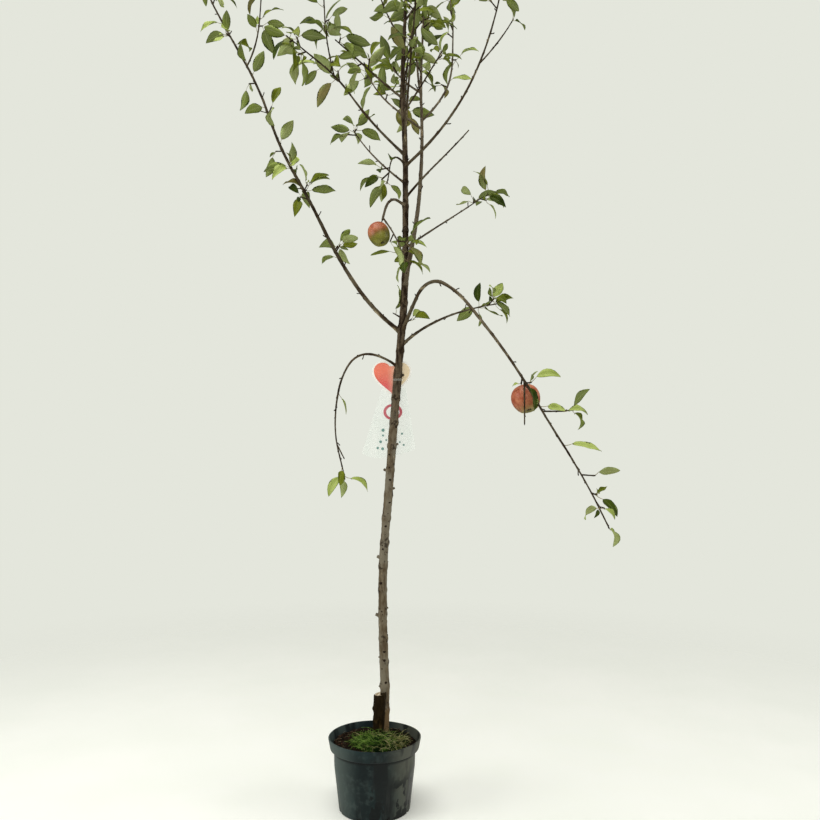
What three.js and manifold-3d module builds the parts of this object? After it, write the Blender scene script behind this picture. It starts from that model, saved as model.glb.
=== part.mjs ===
// Dwarf fruit tree in a round nursery pot, in millimetres, +Z up, with its front towards -Y.
// The origin is the centre of the pot's flat underside.
//
// Every limb follows a centre line that is walked from its foot. Its heading (degrees from +X
// towards +Y) and its rise (degrees above level) change evenly between the values stated for it.
// A bough is the bare length of a limb. At "leafy" millimetres along it the mass of foliage
// takes over: the rest of the limb is its stem, and shoots, spurs and leaves follow a seeded rule.
import * as THREE from "three";
import { mergeVertices } from "three/addons/utils/BufferGeometryUtils.js";
import Module from "manifold-3d";

const GAP = 0.3; // clear between neighbouring pieces

const POT = {
  height: 199,
  footRadius: 98,
  waistRadius: 111.5,
  waistHeight: 120,
  bodyRadius: 112.5,
  bandBottom: 165,
  bandStep: 2,
  bandRadius: 122.5,
  rimRadius: 128,
  rimEdge: 2,
  wall: 2.2,
  lip: 3.5,
  sides: 36,
  holes: 8,
  holeRadius: 7,
  holeDepth: 16,
};

const SOIL = { level: 186, flatRadius: 103, edgeLevel: 181, edgeRadius: 115.5 };

// A low cushion of moss, in front of the trunk.
const MOSS = {
  x: 20,
  y: -35,
  radius: 61,
  stretch: 1.12,
  height: 17,
  shoulders: [[0.93, 0.45], [0.6, 0.86]], // shares of the radius and the height
  sides: 14,
};

const TRUNK = {
  foot: new THREE.Vector3(24, 50, SOIL.level + GAP),
  sways: [1.5, -2.5, 1, 2, -2, -1, 1.5, -1.5],
  rises: [87, 92.5, 90, 85, 86, 85, 85, 90, 90, 93, 87, 89, 91],
  length: 2340,
  radii: [13.4, 12.7, 12.2, 12, 12, 11.8, 10.6, 9, 7.9, 7, 5.5, 3.2, 1.6],
  flare: 2.2,
  flareHeight: 18,
  knotEvery: 68,
  knot: 0.07,
  sides: 10,
  rings: 46,
};

// The cut-off rootstock that the trunk grew from. It leans forward in front of the graft.
const SNAG = {
  foot: [9, 46],
  lean: 4,
  forward: 11,
  height: 117,
  topRadius: 16.8,
  footRadius: 17.2,
  cutTilt: 14,
  sides: 12,
  rings: 3,
};

const LABEL = {
  strapHeight: 1186,
  strapWidth: 6,
  strapClear: 1.3,
  strapThickness: 1.8,
  trunkClear: 0.6,
  thickness: 1,
  heart: { x: 46, top: 1246, width: 112, height: 100 },
  film: { x: 43, top: 1168, bottom: 968, shoulders: [-24, 43], corners: [[-82, -186], [71, -174]], dip: [-38, -221] },
};

const LEAF = {
  length: [46, 74],
  width: 0.48, // share of the length
  widest: 0.48, // place along the blade
  petiole: [12, 22],
  petioleRadius: 1.1,
  petioleStart: 0.16, // share of the petiole over which it grows to its radius
  thickness: 1.5,
  spread: [42, 74], // degrees off its twig
  droop: [0.1, 0.75],
  roll: [18, 70], // degrees about its own midrib, to either hand
  arch: 0.07,
};

// A spur carries a tuft of leaves, whose roots are "apart" along it, and its tip runs past them.
const SPUR = { length: [8, 30], radius: 1.7, lean: 58, leaves: [1, 4], tipLeaves: 3, apart: 3.2, tip: 2.2 };

// A shoot is thinner than its limb by "share", within its largest and smallest radius.
const SHOOT = { share: 0.85, radii: [3.4, 1.5] };

// The room that a new leaf or twig keeps, measured between points of it and what is there.
const ROOM = { limb: 8, ownLimb: 2, fruit: 4, ownLeaf: 7.2, leaf: 17.6, twig: 12.8 };

// A fruit's profile as shares of its radius and of half its height, from calyx to stalk.
const FRUIT = {
  profile: [[0, -0.86], [0.3, -1], [0.75, -0.8], [1, -0.1], [0.95, 0.42], [0.6, 0.9], [0.2, 1], [0, 0.74]],
  sides: 12,
  stalk: 9, // length that shows above the fruit
  stalkRadius: 1.8,
};

// "at" is the distance along the trunk where a limb starts, or along the limb for a shoot.
// "radii" are its sizes at foot and tip, and "bend" the distance at which a bough is split.
// "tufts" are the distances along it of its leafy nodes, and "tip" the leaves at its end.
// "runs" are further nodes along the same limb, each run with its own seed.
const LIMBS = [
  {
    name: "left_long", at: 1140, length: 1310, radii: [6, 2], leafy: 262, seed: 510,
    headings: [176, 162], rises: [36, 56, 64, 60, 71, 60, 61, 80],
    tufts: [1000, 1075, 1145, 1240],
    runs: [
      { seed: 1820, tufts: [284, 302] },
      { seed: 1588, tufts: [477, 505] },
      { seed: 1930, tufts: [556] },
      { seed: 1832, tufts: [640, 707] },
      { seed: 1129, tufts: [757] },
      { seed: 1832, tufts: [861, 921] },
    ],
    shoots: [
      { at: 920, length: 290, headings: [50, 20], rises: [62, 84, 90], seed: 1951, tufts: [115, 160, 230] },
    ],
  },
  {
    name: "left_upper", at: 1640, length: 445, radii: [3.9, 1.5], leafy: 225, seed: 812,
    headings: [-139], rises: [24, 30, 40, 20, 20], tufts: [405],
    runs: [
      { seed: 1806, tufts: [242, 270] },
      { seed: 1345, tufts: [303, 330] },
      { seed: 188, tufts: [362, 385] },
    ],
    shoots: [
      {
        at: 290, length: 300, headings: [-134, -125], rises: [68, 86, 81], seed: 1489,
        tufts: [95, 134, 170, 207, 255],
      },
    ],
  },
  {
    name: "left_mid", at: 1560, length: 275, radii: [3.1, 1.5], leafy: 240, seed: 270,
    headings: [143], rises: [38, 44, 55], tufts: [255],
  },
  {
    name: "left_hanging", at: 1610, length: 165, radii: [2.6, 1.5], leafy: 0, seed: 361, rings: 28,
    headings: [-124, -113, -110], rises: [35, -16, -74, -62], tufts: [90, 130],
  },
  {
    name: "left_fruit_spur", at: 1500, length: 141, radii: [4.2, 3], leafy: 0, seed: 1, rings: 28,
    headings: [-125, -122, -180], rises: [0, 9, -27, -72, -78], tufts: [], tip: 0,
    fruit: { radius: 29.5, height: 64, tilt: 14 },
    shoots: [
      { at: 135, length: 140, headings: [-35, 5], rises: [-50, -62, -76], seed: 1065, tufts: [58, 108] },
    ],
  },
  {
    name: "left_arching", at: 1040, length: 500, radii: [3.6, 1.5], leafy: 190, seed: 390, rings: 34,
    headings: [-168, -130, -13], rises: [40, 9, -52, -74, -75, -68, -78], tufts: [256, 470], tip: 4,
    shoots: [{ at: 405, length: 45, headings: [-40], rises: [-55], seed: 1, tufts: [], tip: 0 }],
  },
  {
    name: "right_arching", at: 1140, length: 1025, radii: [5.3, 1.6], bend: 200, leafy: 560, seed: 1300,
    headings: [-52, -41, -43, -23], rises: [54, 54, -28, -48, -49, -53, -56, -55, -60, -65],
    tufts: [], tip: 1,
    runs: [
      { seed: 776, tufts: [600, 618] },
      { seed: 333, tufts: [690] },
      { seed: 1361, tufts: [805] },
      { seed: 564, tufts: [888] },
      { seed: 1591, tufts: [937, 962] },
    ],
    fruit: { at: 610, side: 42, radius: 36.5, height: 67, tilt: -14 },
    shoots: [
      { at: 705, length: 85, headings: [18], rises: [0, 6], seed: 366, tufts: [35], tip: 3 },
      { at: 612, length: 105, headings: [-95], rises: [-84, -88], seed: 1, tufts: [], tip: 0 },
    ],
  },
  {
    name: "right_low", at: 1100, length: 345, radii: [4.6, 1.7], leafy: 262, seed: 11,
    headings: [28, 19], rises: [43, 29, 18, 11], tufts: [285, 320],
  },
  {
    name: "right_mid", at: 1380, length: 330, radii: [3.1, 1.4], leafy: 240, seed: 71,
    headings: [21], rises: [36, 34, 37], tufts: [262, 300],
  },
  {
    name: "right_bare", at: 1520, length: 255, radii: [3.4, 1.6], leafy: 255,
    headings: [-35], rises: [40, 32, 36],
  },
  {
    name: "right_upper", at: 1610, length: 600, radii: [4.2, 1.4], leafy: 318, seed: 104,
    headings: [-30, -47, -52], rises: [30, 36, 45, 58, 70, 80], tufts: [470, 530, 570],
    shoots: [{ at: 335, length: 175, headings: [26], rises: [47, 59], seed: 400, tufts: [], tip: 2 }],
  },
  {
    name: "second_leader", at: 1270, length: 1010, radii: [6.8, 1.6], leafy: 430, seed: 379,
    headings: [-50, 30, 110, 40, -17], rises: [76, 80, 85, 84, 82, 86, 86, 82],
    tufts: [600, 680, 760, 830, 900, 960],
    shoots: [
      { at: 455, length: 270, headings: [156], rises: [38, 44, 66], seed: 22, tufts: [130, 180, 225] },
      {
        at: 480, length: 520, headings: [15, 131], rises: [45, 59, 86, 70, 89], seed: 359,
        tufts: [145, 240, 310, 380, 450],
      },
      {
        at: 550, length: 440, headings: [105, 89], rises: [61, 76, 74, 77], seed: 118,
        tufts: [110, 180, 250, 320, 390],
      },
      { at: 565, length: 160, headings: [143], rises: [35, 54], seed: 70, tufts: [110] },
    ],
  },
  {
    name: "right_inner", at: 1760, length: 190, radii: [3, 1.6], leafy: 105, seed: 5,
    headings: [-46], rises: [36, 42], tufts: [140, 170],
  },
  {
    name: "left_inner", at: 1800, length: 260, radii: [3.2, 1.6], leafy: 120, seed: 187,
    headings: [-134], rises: [12, 19, 17], tufts: [140, 185, 225],
  },
  {
    name: "back_upper", at: 1592, length: 560, radii: [4.4, 1.6], leafy: 240, seed: 390,
    headings: [95, 80], rises: [45, 60, 70], tufts: [290, 350, 420, 490],
  },
  {
    name: "front_upper", at: 1665, length: 430, radii: [4, 1.6], leafy: 210, seed: 326,
    headings: [-88, -70], rises: [40, 62, 75], tufts: [250, 300, 345, 390],
  },
  {
    name: "back_fruit_spur", at: 1828, length: 92, radii: [2.8, 2.2], leafy: 0, seed: 1,
    headings: [97], rises: [50, -20, -75], tufts: [], tip: 0,
    fruit: { radius: 23.5, height: 50, tilt: -20 },
  },
  {
    name: "low_spur_left", at: 1345, length: 34, radii: [2.2, 1.6], leafy: 0, seed: 146,
    headings: [-160], rises: [30, 50], tufts: [20],
  },
  {
    name: "low_spur_right", at: 1318, length: 42, radii: [2.2, 1.6], leafy: 0, seed: 262,
    headings: [52], rises: [25, 60], tufts: [20],
  },
  {
    name: "low_twig_right", at: 1160, length: 30, radii: [2.2, 1.6], leafy: 0, seed: 287,
    headings: [5], rises: [35], tufts: [], tip: 2,
  },
  {
    name: "low_twig_left", at: 1180, length: 30, radii: [2.2, 1.6], leafy: 0, seed: 225,
    headings: [165], rises: [30], tufts: [], tip: 2,
  },
];

// Leafy side shoots up the top of the trunk, round it by the golden angle and shorter upwards.
const TOP_SHOOTS = {
  count: 8,
  from: 1835,
  every: 62,
  heading: -70,
  rises: [46, 74],
  lengths: [190, 110],
  radii: [2.8, 1.5],
  tufts: [75],
  seed: 6,
};
const TIP_SHOOT = { heading: 20, rise: 88, length: 60, radii: [1.6, 1.4], tufts: [16, 38], seed: 41 };
const GOLDEN_ANGLE = 137.5;

const STEP = 12; // length of one step of a centre line
const RING_SPACING = 58; // between the rings of a limb's solid, unless it has "rings" of its own
const COLLAR = { swell: 0.5, length: 9 }; // a bough thickens where it leaves the trunk

const MATERIALS = {
  pot: new THREE.MeshStandardMaterial({ color: 0x24292c, roughness: 0.6, metalness: 0 }),
  soil: new THREE.MeshStandardMaterial({ color: 0x2a1c15, roughness: 1, metalness: 0 }),
  moss: new THREE.MeshStandardMaterial({ color: 0x4d6b22, roughness: 1, metalness: 0 }),
  bark: new THREE.MeshStandardMaterial({ color: 0x5a4a3c, roughness: 0.85, metalness: 0 }),
  foliage: new THREE.MeshStandardMaterial({ color: 0x5f7f35, roughness: 0.55, metalness: 0 }),
  card: new THREE.MeshStandardMaterial({ color: 0xe2583f, roughness: 0.35, metalness: 0 }),
  film: new THREE.MeshStandardMaterial({ color: 0xd7ddd3, roughness: 0.3, metalness: 0 }),
};

const wasm = await Module();
wasm.setup();

// ---------------------------------------------------------------- numbers

const radians = (degrees) => (degrees * Math.PI) / 180;
const mix = (a, b, t) => a + (b - a) * t;

// The value at share t of a list whose values are spread evenly.
function along(values, t) {
  const place = Math.min(Math.max(t, 0), 1) * (values.length - 1);
  const index = Math.min(Math.floor(place), values.length - 2);
  return values.length === 1 ? values[0] : mix(values[index], values[index + 1], place - index);
}

// Numbers from 0 to 1 that a seed fixes.
function seeded(seed) {
  let state = (seed * 7919 + 17) >>> 0;
  return () => {
    state = (Math.imul(state, 1664525) + 1013904223) >>> 0;
    return state / 4294967296;
  };
}

function direction(heading, rise) {
  const level = Math.cos(radians(rise));
  return new THREE.Vector3(
    level * Math.cos(radians(heading)),
    level * Math.sin(radians(heading)),
    Math.sin(radians(rise)),
  );
}

// A unit vector square to the given one, turned round it by the roll in degrees.
function outward(tangent, roll) {
  const reference = Math.abs(tangent.z) > 0.95 ? new THREE.Vector3(1, 0, 0) : new THREE.Vector3(0, 0, 1);
  const side = reference.cross(tangent).normalize();
  const other = tangent.clone().cross(side);
  return side.multiplyScalar(Math.cos(radians(roll))).addScaledVector(other, Math.sin(radians(roll)));
}

// ---------------------------------------------------------------- centre lines

function centreLine(start, headings, rises, length) {
  const count = Math.max(5, Math.round(length / STEP));
  const points = [start.clone()];
  for (let i = 0; i < count; i++) {
    const t = (i + 0.5) / count;
    const step = direction(along(headings, t), along(rises, t));
    points.push(points[i].clone().addScaledVector(step, length / count));
  }
  return { points, length };
}

function pointAt(line, distance) {
  const place = (distance / line.length) * (line.points.length - 1);
  const index = Math.min(Math.max(Math.floor(place), 0), line.points.length - 2);
  return line.points[index].clone().lerp(line.points[index + 1], place - index);
}

function tangentAt(line, distance) {
  const ahead = pointAt(line, Math.min(distance + 1, line.length));
  return ahead.sub(pointAt(line, Math.max(distance - 1, 0))).normalize();
}

// ---------------------------------------------------------------- solids

function closedGeometry(geometry) {
  geometry.deleteAttribute("normal");
  geometry.deleteAttribute("uv");
  return mergeVertices(geometry, 1e-4);
}

function solidOf(geometry) {
  const closed = closedGeometry(geometry);
  const vertProperties = new Float32Array(closed.attributes.position.array);
  const triVerts = new Uint32Array(closed.index.array);
  return new wasm.Manifold(new wasm.Mesh({ numProp: 3, vertProperties, triVerts }));
}

// Bends a straight prism along a line from one distance to another. radiusAt gives its size.
function limbSolid(line, from, to, radiusAt, sides, rings) {
  const prism = closedGeometry(new THREE.CylinderGeometry(1, 1, 1, sides, rings));
  const frames = [];
  let side = outward(tangentAt(line, from), 0);
  for (let ring = 0; ring <= rings; ring++) {
    const distance = mix(from, to, ring / rings);
    const tangent = tangentAt(line, distance);
    side = side.clone().addScaledVector(tangent, -side.dot(tangent)).normalize();
    frames.push({ distance, centre: pointAt(line, distance), side, other: side.clone().cross(tangent) });
  }
  const position = prism.attributes.position;
  for (let i = 0; i < position.count; i++) {
    const frame = frames[Math.round((position.getY(i) + 0.5) * rings)];
    const radius = radiusAt(frame.distance);
    const place = frame.centre.clone();
    place.addScaledVector(frame.side, position.getX(i) * radius);
    place.addScaledVector(frame.other, position.getZ(i) * radius);
    position.setXYZ(i, place.x, place.y, place.z);
  }
  return solidOf(prism);
}

const ringCount = (length, spacing) => Math.max(2, Math.round(length / (spacing ?? RING_SPACING)));

// A leaf: a petiole that starts inside its twig, then a blade with a flat top and a keel.
function leafSolid(leaf) {
  const forward = leaf.tip.clone().sub(leaf.base);
  const side = forward.clone().cross(leaf.normal).normalize();
  const up = side.clone().cross(forward).normalize();
  const rows = [
    { centre: leaf.root, half: 0 },
    { centre: leaf.root.clone().lerp(leaf.base, LEAF.petioleStart), half: LEAF.petioleRadius },
    { centre: leaf.base, half: LEAF.petioleRadius },
    { centre: bladePoint(leaf, LEAF.widest), half: leaf.width / 2 },
    { centre: leaf.tip, half: 0 },
  ];
  const shape = closedGeometry(new THREE.SphereGeometry(1, 3, rows.length - 1));
  const position = shape.attributes.position;
  for (let i = 0; i < position.count; i++) {
    const polar = Math.acos(Math.min(Math.max(position.getY(i), -1), 1));
    const { centre, half } = rows[Math.round((polar / Math.PI) * (rows.length - 1))];
    const corner = Math.atan2(position.getZ(i), position.getX(i));
    const place = centre.clone();
    if (half > 0) {
      place.addScaledVector(side, (Math.sin(corner) / Math.sin(Math.PI / 3)) * half);
      place.addScaledVector(up, (Math.cos(corner) * LEAF.thickness) / 1.5);
    }
    position.setXYZ(i, place.x, place.y, place.z);
  }
  return solidOf(shape);
}

function bladePoint(leaf, t) {
  const lift = 4 * t * (1 - t) * LEAF.arch * leaf.length;
  return leaf.base.clone().lerp(leaf.tip, t).addScaledVector(leaf.normal, lift);
}

// A round fruit with a dimple at both ends.
function fruitSolid(fruit) {
  const { radius, height, tilt, centre } = fruit;
  const profile = FRUIT.profile.map(([r, z]) => new THREE.Vector2(r * radius, (z * height) / 2));
  const lathe = new THREE.LatheGeometry(profile, FRUIT.sides);
  lathe.rotateX(Math.PI / 2);
  lathe.rotateY(radians(tilt));
  lathe.translate(centre.x, centre.y, centre.z);
  return solidOf(lathe);
}

// ---------------------------------------------------------------- the growing rule

// Ball shaped probes that stand for a leaf's blade where its room is tested.
function bladeProbes(leaf) {
  const side = leaf.tip.clone().sub(leaf.base).cross(leaf.normal).normalize();
  const probes = [0.15, 0.4, 0.65, 0.92].map((t) => bladePoint(leaf, t));
  for (const t of [0.4, 0.65]) {
    for (const hand of [-1, 1]) {
      probes.push(bladePoint(leaf, t).addScaledVector(side, (hand * leaf.width) / 2));
    }
  }
  return probes;
}

function distanceToSegment(point, a, b) {
  const run = b.clone().sub(a);
  const t = Math.min(Math.max(point.clone().sub(a).dot(run) / run.lengthSq(), 0), 1);
  return a.clone().addScaledVector(run, t).distanceTo(point);
}

// What is already there: limbs as lines of thick segments, blades as probes, fruit as balls.
const grown = { segments: [], probes: [], balls: [] };

function addSegments(line, radiusAt, owner) {
  for (let i = 1; i < line.points.length; i++) {
    const distance = (i / (line.points.length - 1)) * line.length;
    grown.segments.push({ a: line.points[i - 1], b: line.points[i], radius: radiusAt(distance), owner });
  }
}

function hasRoom(leaf, owner) {
  const probes = bladeProbes(leaf);
  for (const probe of probes) {
    for (const limb of grown.segments) {
      const room = limb.radius + (limb.owner === owner ? ROOM.ownLimb : ROOM.limb);
      if (distanceToSegment(probe, limb.a, limb.b) < room) return false;
    }
    for (const ball of grown.balls) {
      if (probe.distanceTo(ball.centre) < ball.radius + ROOM.fruit) return false;
    }
    for (const other of grown.probes) {
      const room = other.owner === owner ? ROOM.ownLeaf : ROOM.leaf;
      if (probe.distanceTo(other.place) < room) return false;
    }
  }
  probes.forEach((place) => grown.probes.push({ place, owner }));
  return true;
}

function twigHasRoom(start, end, owner) {
  for (const t of [0.5, 1]) {
    const probe = start.clone().lerp(end, t);
    for (const limb of grown.segments) {
      if (limb.owner === owner) continue;
      if (distanceToSegment(probe, limb.a, limb.b) < limb.radius + ROOM.limb) return false;
    }
    for (const other of grown.probes) {
      if (other.owner !== owner && probe.distanceTo(other.place) < ROOM.twig) return false;
    }
  }
  return true;
}

// The direction that leaves a tangent by the lean in degrees, on the side of the given roll.
function leaning(tangent, lean, roll) {
  const sideways = outward(tangent, roll).multiplyScalar(Math.sin(radians(lean)));
  return sideways.addScaledVector(tangent, Math.cos(radians(lean)));
}

// One leaf that leaves a twig's tangent at the given roll.
function makeLeaf(place, tangent, roll, random) {
  const spread = mix(LEAF.spread[0], LEAF.spread[1], random());
  const droop = mix(LEAF.droop[0], LEAF.droop[1], random());
  const length = mix(LEAF.length[0], LEAF.length[1], random());
  const petiole = mix(LEAF.petiole[0], LEAF.petiole[1], random());
  const hand = random() < 0.5 ? -1 : 1;
  const turn = radians(hand * mix(LEAF.roll[0], LEAF.roll[1], random()));
  const way = leaning(tangent, spread, roll);
  const base = place.clone().addScaledVector(way, petiole);
  way.z -= droop;
  way.normalize();
  const tip = base.clone().addScaledVector(way, length);
  const upright = Math.abs(way.z) > 0.97;
  const side = upright ? outward(way, 0) : new THREE.Vector3(0, 0, 1).cross(way).normalize();
  const normal = way.clone().cross(side).multiplyScalar(Math.cos(turn));
  normal.addScaledVector(side, Math.sin(turn));
  return { root: place.clone(), base, tip, normal, length, width: length * LEAF.width };
}

// Tufts of leaves along one axis of a mass, its stem or a shoot, with a rosette at the tip.
// A tuft of one leaf sits on the axis itself, and a larger one on a short spur.
function growAxis(axis, mass) {
  const random = seeded(axis.seed);
  let roll = 360 * random();
  const tryLeaf = (place, tangent, turn, held) => {
    const leaf = makeLeaf(place, tangent, turn, random);
    if (held && hasRoom(leaf, mass.name)) mass.leaves.push(leaf);
  };
  for (const distance of axis.tufts) {
    const place = pointAt(axis.line, distance);
    const tangent = tangentAt(axis.line, distance);
    const count = Math.floor(mix(SPUR.leaves[0], SPUR.leaves[1] + 1, random()));
    const spurLength = mix(SPUR.length[0], SPUR.length[1], random());
    const single = count === 1;
    const way = single ? tangent : leaning(tangent, SPUR.lean, roll);
    const end = single ? place : place.clone().addScaledVector(way, spurLength);
    const spurGrows = !single && twigHasRoom(place, end, mass.name);
    if (spurGrows) {
      mass.twigs.push({ points: [place, end], length: spurLength });
      grown.segments.push({ a: place, b: end, radius: SPUR.radius, owner: mass.name });
    }
    for (let i = 0; i < count; i++) {
      const root = end.clone().addScaledVector(way, -SPUR.apart * Math.min(i, 2));
      tryLeaf(root, way, roll + (360 * i) / count, spurGrows || single);
    }
    roll += GOLDEN_ANGLE;
  }
  const tipLeaves = axis.tip ?? SPUR.tipLeaves;
  for (let i = 0; i < tipLeaves; i++) {
    const distance = axis.line.length - 2 - SPUR.apart * i;
    const tangent = tangentAt(axis.line, distance);
    tryLeaf(pointAt(axis.line, distance), tangent, roll + (360 * i) / tipLeaves, true);
  }
}

// ---------------------------------------------------------------- pot, trunk and label

function trunkRadius(distance) {
  const knot = Math.max(0, Math.cos((2 * Math.PI * distance) / TRUNK.knotEvery)) ** 4;
  const flare = TRUNK.flare * Math.exp(-distance / TRUNK.flareHeight);
  return along(TRUNK.radii, distance / TRUNK.length) * (1 + TRUNK.knot * knot) + flare;
}

// The trunk leans along X by its rises, and sways towards +Y or -Y by degrees of its own.
function trunkCentreLine() {
  const line = centreLine(TRUNK.foot, [0], TRUNK.rises, TRUNK.length);
  const count = line.points.length - 1;
  let y = TRUNK.foot.y;
  for (let i = 1; i <= count; i++) {
    y += Math.sin(radians(along(TRUNK.sways, (i - 0.5) / count))) * (TRUNK.length / count);
    line.points[i].y = y;
  }
  return line;
}

const trunkLine = trunkCentreLine();
const tree = new THREE.Group();

// Cutting can leave loose scraps, so a piece is the largest body of its solid.
function addPiece(name, solid, material) {
  const bodies = solid.decompose().sort((a, b) => b.volume() - a.volume());
  const result = bodies[0].getMesh();
  const geometry = new THREE.BufferGeometry();
  geometry.setAttribute("position", new THREE.BufferAttribute(result.vertProperties, 3));
  geometry.setIndex(new THREE.BufferAttribute(result.triVerts, 1));
  geometry.computeVertexNormals();
  const piece = new THREE.Mesh(geometry, material);
  piece.name = name;
  tree.add(piece);
}

// Turns a profile of radius and height pairs about +Z.
function lathed(profile, sides) {
  const lathe = new THREE.LatheGeometry(profile.map(([r, z]) => new THREE.Vector2(r, z)), sides);
  return lathe.rotateX(Math.PI / 2);
}

function makePot() {
  const { height, footRadius, waistRadius, waistHeight, bodyRadius, bandBottom, bandStep } = POT;
  const { bandRadius, rimRadius, rimEdge, wall, lip, sides, holes, holeRadius, holeDepth } = POT;
  const profile = [
    [0, 0],
    [footRadius, 0],
    [waistRadius, waistHeight],
    [bodyRadius, bandBottom],
    [bandRadius, bandBottom + bandStep],
    [rimRadius, height - rimEdge],
    [rimRadius - rimEdge / 2, height],
    [rimRadius - lip, height],
    [bandRadius - wall, bandBottom + bandStep + wall],
    [bodyRadius - wall, bandBottom + wall],
    [waistRadius - wall, waistHeight],
    [footRadius - wall, wall],
    [0, wall],
  ];
  let pot = solidOf(lathed(profile, sides));
  for (let i = 0; i < holes; i++) {
    const hole = new THREE.CylinderGeometry(holeRadius, holeRadius, holeDepth, 6);
    hole.rotateZ(Math.PI / 2);
    hole.translate(footRadius, 0, 0);
    hole.rotateZ((2 * Math.PI * (i + 0.5)) / holes);
    pot = pot.subtract(solidOf(hole));
  }
  addPiece("pot", pot, MATERIALS.pot);
}

function makeSoil() {
  const inner = POT.wall + GAP;
  const foot = POT.wall + GAP;
  const profile = [
    [0, foot],
    [POT.footRadius - inner - GAP, foot],
    [POT.waistRadius - inner, POT.waistHeight],
    [POT.bodyRadius - inner, POT.bandBottom + POT.wall],
    [SOIL.edgeRadius, SOIL.edgeLevel],
    [SOIL.flatRadius, SOIL.level],
    [0, SOIL.level],
  ];
  addPiece("soil", solidOf(lathed(profile, POT.sides)), MATERIALS.soil);
}

function makeMoss() {
  const { x, y, radius, stretch, height, shoulders, sides } = MOSS;
  const profile = [[0, 0], [radius, 0]];
  for (const [r, z] of shoulders) profile.push([radius * r, height * z]);
  profile.push([0, height]);
  const cushion = lathed(profile, sides);
  cushion.scale(stretch, 1, 1);
  cushion.translate(x, y, SOIL.level + GAP);
  addPiece("moss", solidOf(cushion), MATERIALS.moss);
}

function makeTrunk() {
  const trunk = limbSolid(trunkLine, 0, TRUNK.length, trunkRadius, TRUNK.sides, TRUNK.rings);
  const { foot } = TRUNK;
  const { lean, forward, height, topRadius, footRadius, cutTilt, sides, rings } = SNAG;
  const snag = new THREE.CylinderGeometry(topRadius, footRadius, height, sides, rings);
  const position = snag.attributes.position;
  for (let i = 0; i < position.count; i++) {
    const share = position.getY(i) / height + 0.5;
    const tilt = share > 0.99 ? position.getX(i) * Math.tan(radians(cutTilt)) : 0;
    const z = position.getZ(i) + forward * share;
    position.setXYZ(i, position.getX(i) + lean * share, position.getY(i) + tilt, z);
  }
  snag.rotateX(Math.PI / 2);
  snag.translate(...SNAG.foot, foot.z + height / 2);
  const below = new THREE.BoxGeometry(200, 200, 40);
  below.translate(foot.x, foot.y, foot.z - 20);
  addPiece("trunk", trunk.add(solidOf(snag)).subtract(solidOf(below)), MATERIALS.bark);
}

// A heart-shaped card on a strap round the trunk, with a clear film that widens below it.
function makeLabel() {
  const { strapHeight, strapWidth, strapClear, strapThickness, thickness, heart, film } = LABEL;
  const centre = trunkLine.points.find((point) => point.z > strapHeight);
  const inner = trunkRadius(strapHeight - TRUNK.foot.z) + strapClear;
  const outer = inner + strapThickness;
  const strap = lathed([[inner, 0], [outer, 0], [outer, strapWidth], [inner, strapWidth], [inner, 0]], 16);
  strap.translate(centre.x, centre.y, strapHeight);
  const w = heart.width / 2;
  const h = heart.height;
  const outline = new THREE.Shape();
  outline.moveTo(0, -h);
  outline.bezierCurveTo(-w * 0.35, -h * 0.8, -w, -h * 0.62, -w, -h * 0.3);
  outline.bezierCurveTo(-w, 0, -w * 0.25, h * 0.1, 0, -h * 0.17);
  outline.bezierCurveTo(w * 0.25, h * 0.1, w, 0, w, -h * 0.3);
  outline.bezierCurveTo(w, -h * 0.62, w * 0.35, -h * 0.8, 0, -h);
  const behind = trunkLine.points
    .filter((point) => point.z > film.bottom && point.z < heart.top + STEP)
    .map((point) => point.y + trunkRadius(point.z - TRUNK.foot.z) + LABEL.trunkClear);
  const back = Math.max(...behind) + GAP + thickness;
  const plate = { depth: thickness, bevelEnabled: false, curveSegments: 7 };
  const card = new THREE.ExtrudeGeometry(outline, plate);
  card.rotateX(Math.PI / 2);
  card.translate(heart.x, back, heart.top);
  addPiece("label_heart", solidOf(strap).add(solidOf(card)), MATERIALS.card);

  const skirt = new THREE.Shape();
  skirt.moveTo(film.shoulders[0], 0);
  skirt.lineTo(...film.corners[0]);
  skirt.quadraticCurveTo(...film.dip, ...film.corners[1]);
  skirt.lineTo(film.shoulders[1], 0);
  skirt.closePath();
  const sheet = new THREE.ExtrudeGeometry(skirt, plate);
  sheet.rotateX(Math.PI / 2);
  sheet.translate(film.x, back + GAP + thickness, film.top);
  addPiece("label_film", solidOf(sheet), MATERIALS.film);
}

// ---------------------------------------------------------------- limbs

function prepareLimb(limb) {
  const start = pointAt(trunkLine, limb.at);
  const line = centreLine(start, limb.headings, limb.rises, limb.length);
  const radiusAt = (distance) => along(limb.radii, distance / limb.length);
  addSegments(line, radiusAt, limb.name);
  const shoots = (limb.shoots ?? []).map((shoot) => {
    const shootLine = centreLine(pointAt(line, shoot.at), shoot.headings, shoot.rises, shoot.length);
    const foot = Math.min(radiusAt(shoot.at) * SHOOT.share, SHOOT.radii[0]);
    const shootRadius = (distance) => mix(foot, SHOOT.radii[1], distance / shoot.length);
    addSegments(shootLine, shootRadius, limb.name);
    return { ...shoot, line: shootLine, radiusAt: shootRadius };
  });
  return { ...limb, line, radiusAt, shoots, leaves: [], twigs: [] };
}

// A fruit hangs from the limb's tip, or from "at" on it, and is fused on by its stalk.
function placeFruit(limb) {
  const { at, side, height, radius, tilt } = limb.fruit;
  const from = pointAt(limb.line, at ?? limb.length - 2);
  const drop = FRUIT.stalk + height / 2;
  const lean = drop * Math.sin(radians(tilt));
  const centre = new THREE.Vector3(from.x - lean, from.y + (side ?? 0), from.z - drop);
  limb.hung = { ...limb.fruit, from, centre };
  grown.balls.push({ centre, radius: Math.max(radius, height / 2) });
}

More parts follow.
